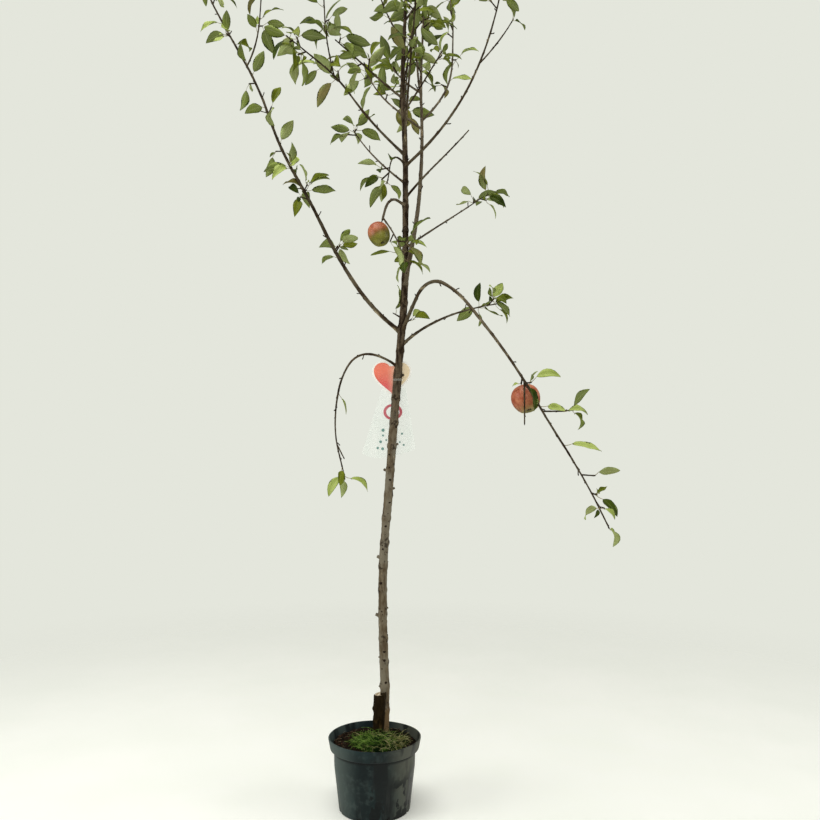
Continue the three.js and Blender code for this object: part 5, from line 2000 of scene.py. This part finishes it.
def make_stage(settings):
    bpy.context.scene.view_settings.view_transform = "Standard"
    make_floor(settings)
    make_world(settings)
    for name, (place, size) in LAMPS.items():
        light = bpy.data.lights.new(name, "AREA")
        light.shape, light.size, light.energy = "DISK", size, getattr(settings, name)
        lamp = stage_object(name, light, place)
        way = Vector(AIM) - lamp.location
        lamp.rotation_euler = way.to_track_quat("-Z", "Y").to_euler()
    camera = bpy.data.cameras.new("camera")
    camera.lens, camera.sensor_width, camera.shift_y = CAMERA["lens"], CAMERA["sensor"], CAMERA["shift"]
    camera.clip_start, camera.clip_end = 0.05, 60
    eye = stage_object("camera", camera, CAMERA["place"])
    eye.rotation_euler = (math.pi / 2, 0, 0)
    bpy.context.scene.camera = eye


def stage_object(name, data, place):
    made = bpy.data.objects.new(name, data)
    made.location = place
    bpy.context.scene.collection.objects.link(made)
    return made


def make_floor(settings):
    """A round pale floor that fades into the surround."""
    bm = bmesh.new()
    bmesh.ops.create_circle(bm, cap_ends=True, segments=96, radius=FLOOR["radius"])
    mesh = finish_mesh(bm, "floor", smooth=False)
    f = Finish("Studio floor", 0.7, Emission_Color=settings.floor, Emission_Strength=0.16)
    place = f.place()
    x, y = f.axis(place, "X"), f.axis(place, "Y")
    reach = f.math("SQRT", f.math("ADD", f.times(x, x), f.times(y, y)))
    f.set(Base_Color=f.mottle(place, 3.0, settings.floor, "eef0e6", softness=0.4))
    f.set(Alpha=f.spread(reach, FLOOR["clear"], FLOOR["solid"]))
    mesh.materials.append(f.material)
    ground = stage_object("floor", mesh, (0, 0, -FLOOR["sunk"]))


def make_world(settings):
    """A surround that is seen in one colour and lights the object more softly."""
    world = bpy.data.worlds.new("Studio")
    bpy.context.scene.world = world
    world.use_nodes = True
    w, nodes = Wiring(world.node_tree), world.node_tree.nodes
    seen = nodes["Background"]
    w.plug(seen.inputs["Color"], settings.wall)
    light = w.add("ShaderNodeBackground", Color=settings.wall, Strength=settings.ambient)
    choice = w.add("ShaderNodeMixShader")
    w.plug(choice.inputs[0], w.add("ShaderNodeLightPath").outputs["Is Camera Ray"])
    w.plug(choice.inputs[1], light.outputs[0])
    w.plug(choice.inputs[2], seen.outputs[0])
    w.plug(nodes["World Output"].inputs["Surface"], choice.outputs[0])


# ---- operators and panel


SETTINGS = {
    "tree_pot": PotSettings, "tree_soil": SoilSettings, "tree_moss": MossSettings,
    "tree_bark": BarkSettings, "tree_leaf": LeafSettings, "tree_fruit": FruitSettings,
    "tree_label": LabelSettings, "tree_stage": StageSettings,
}


class TREE_OT_pot(bpy.types.Operator):
    """Make the round nursery pot with its drain holes"""

    bl_idname = "tree.pot"
    bl_label = "Pot"

    def execute(self, context):
        make_pot(context.scene.tree_pot)
        return {"FINISHED"}


class TREE_OT_soil(bpy.types.Operator):
    """Make the soil, its bark chips and straws"""

    bl_idname = "tree.soil"
    bl_label = "Soil"

    def execute(self, context):
        make_soil(context.scene.tree_soil)
        return {"FINISHED"}


class TREE_OT_moss(bpy.types.Operator):
    """Make the moss cushion and its fine blades"""

    bl_idname = "tree.moss"
    bl_label = "Moss"

    def execute(self, context):
        make_moss(context.scene.tree_moss)
        return {"FINISHED"}


class TREE_OT_trunk(bpy.types.Operator):
    """Make the trunk's bark and the cut rootstock"""

    bl_idname = "tree.trunk"
    bl_label = "Trunk"

    def execute(self, context):
        make_trunk(context.scene.tree_bark)
        return {"FINISHED"}


class TREE_OT_boughs(bpy.types.Operator):
    """Make the bare boughs"""

    bl_idname = "tree.boughs"
    bl_label = "Boughs"

    def execute(self, context):
        make_boughs(context.scene.tree_bark)
        return {"FINISHED"}


class TREE_OT_twigs(bpy.types.Operator):
    """Make the stems, shoots, spurs and fruit stalks"""

    bl_idname = "tree.twigs"
    bl_label = "Twigs"

    def execute(self, context):
        make_twigs(context.scene.tree_bark)
        return {"FINISHED"}


class TREE_OT_leaves(bpy.types.Operator):
    """Make the leaves"""

    bl_idname = "tree.leaves"
    bl_label = "Leaves"

    def execute(self, context):
        make_leaves(context.scene.tree_leaf)
        return {"FINISHED"}


class TREE_OT_fruit(bpy.types.Operator):
    """Make the fruit"""

    bl_idname = "tree.fruit"
    bl_label = "Fruit"

    def execute(self, context):
        make_fruit(context.scene.tree_fruit)
        return {"FINISHED"}


class TREE_OT_label(bpy.types.Operator):
    """Make the heart-shaped card, its strap and the clear film"""

    bl_idname = "tree.label"
    bl_label = "Label"

    def execute(self, context):
        make_label(context.scene.tree_label)
        return {"FINISHED"}


class TREE_OT_stage(bpy.types.Operator):
    """Make the floor, the lights and the camera"""

    bl_idname = "tree.stage"
    bl_label = "Stage"

    def execute(self, context):
        make_stage(context.scene.tree_stage)
        return {"FINISHED"}


OPERATORS = [
    TREE_OT_pot, TREE_OT_soil, TREE_OT_moss, TREE_OT_trunk, TREE_OT_boughs, TREE_OT_twigs,
    TREE_OT_leaves, TREE_OT_fruit, TREE_OT_label, TREE_OT_stage,
]


class TREE_PT_panel(bpy.types.Panel):
    """The tree's pieces and their settings"""

    bl_idname = "TREE_PT_panel"
    bl_label = "Potted Fruit Tree"
    bl_space_type = "VIEW_3D"
    bl_region_type = "UI"
    bl_category = "Tree"

    def draw(self, context):
        layout = self.layout
        for operator in OPERATORS:
            layout.operator(operator.bl_idname)
        for name, group in SETTINGS.items():
            box = layout.box()
            for field in group.__annotations__:
                box.prop(getattr(context.scene, name), field)


CLASSES = [*SETTINGS.values(), *OPERATORS, TREE_PT_panel]


def register():
    for cls in CLASSES:
        bpy.utils.register_class(cls)
    for name, group in SETTINGS.items():
        setattr(bpy.types.Scene, name, bpy.props.PointerProperty(type=group))


def unregister():
    for name in SETTINGS:
        delattr(bpy.types.Scene, name)
    for cls in reversed(CLASSES):
        bpy.utils.unregister_class(cls)


def main():
    register()
    for operator in OPERATORS:
        group, name = operator.bl_idname.split(".")
        getattr(getattr(bpy.ops, group), name)()


if __name__ == "__main__":
    main()
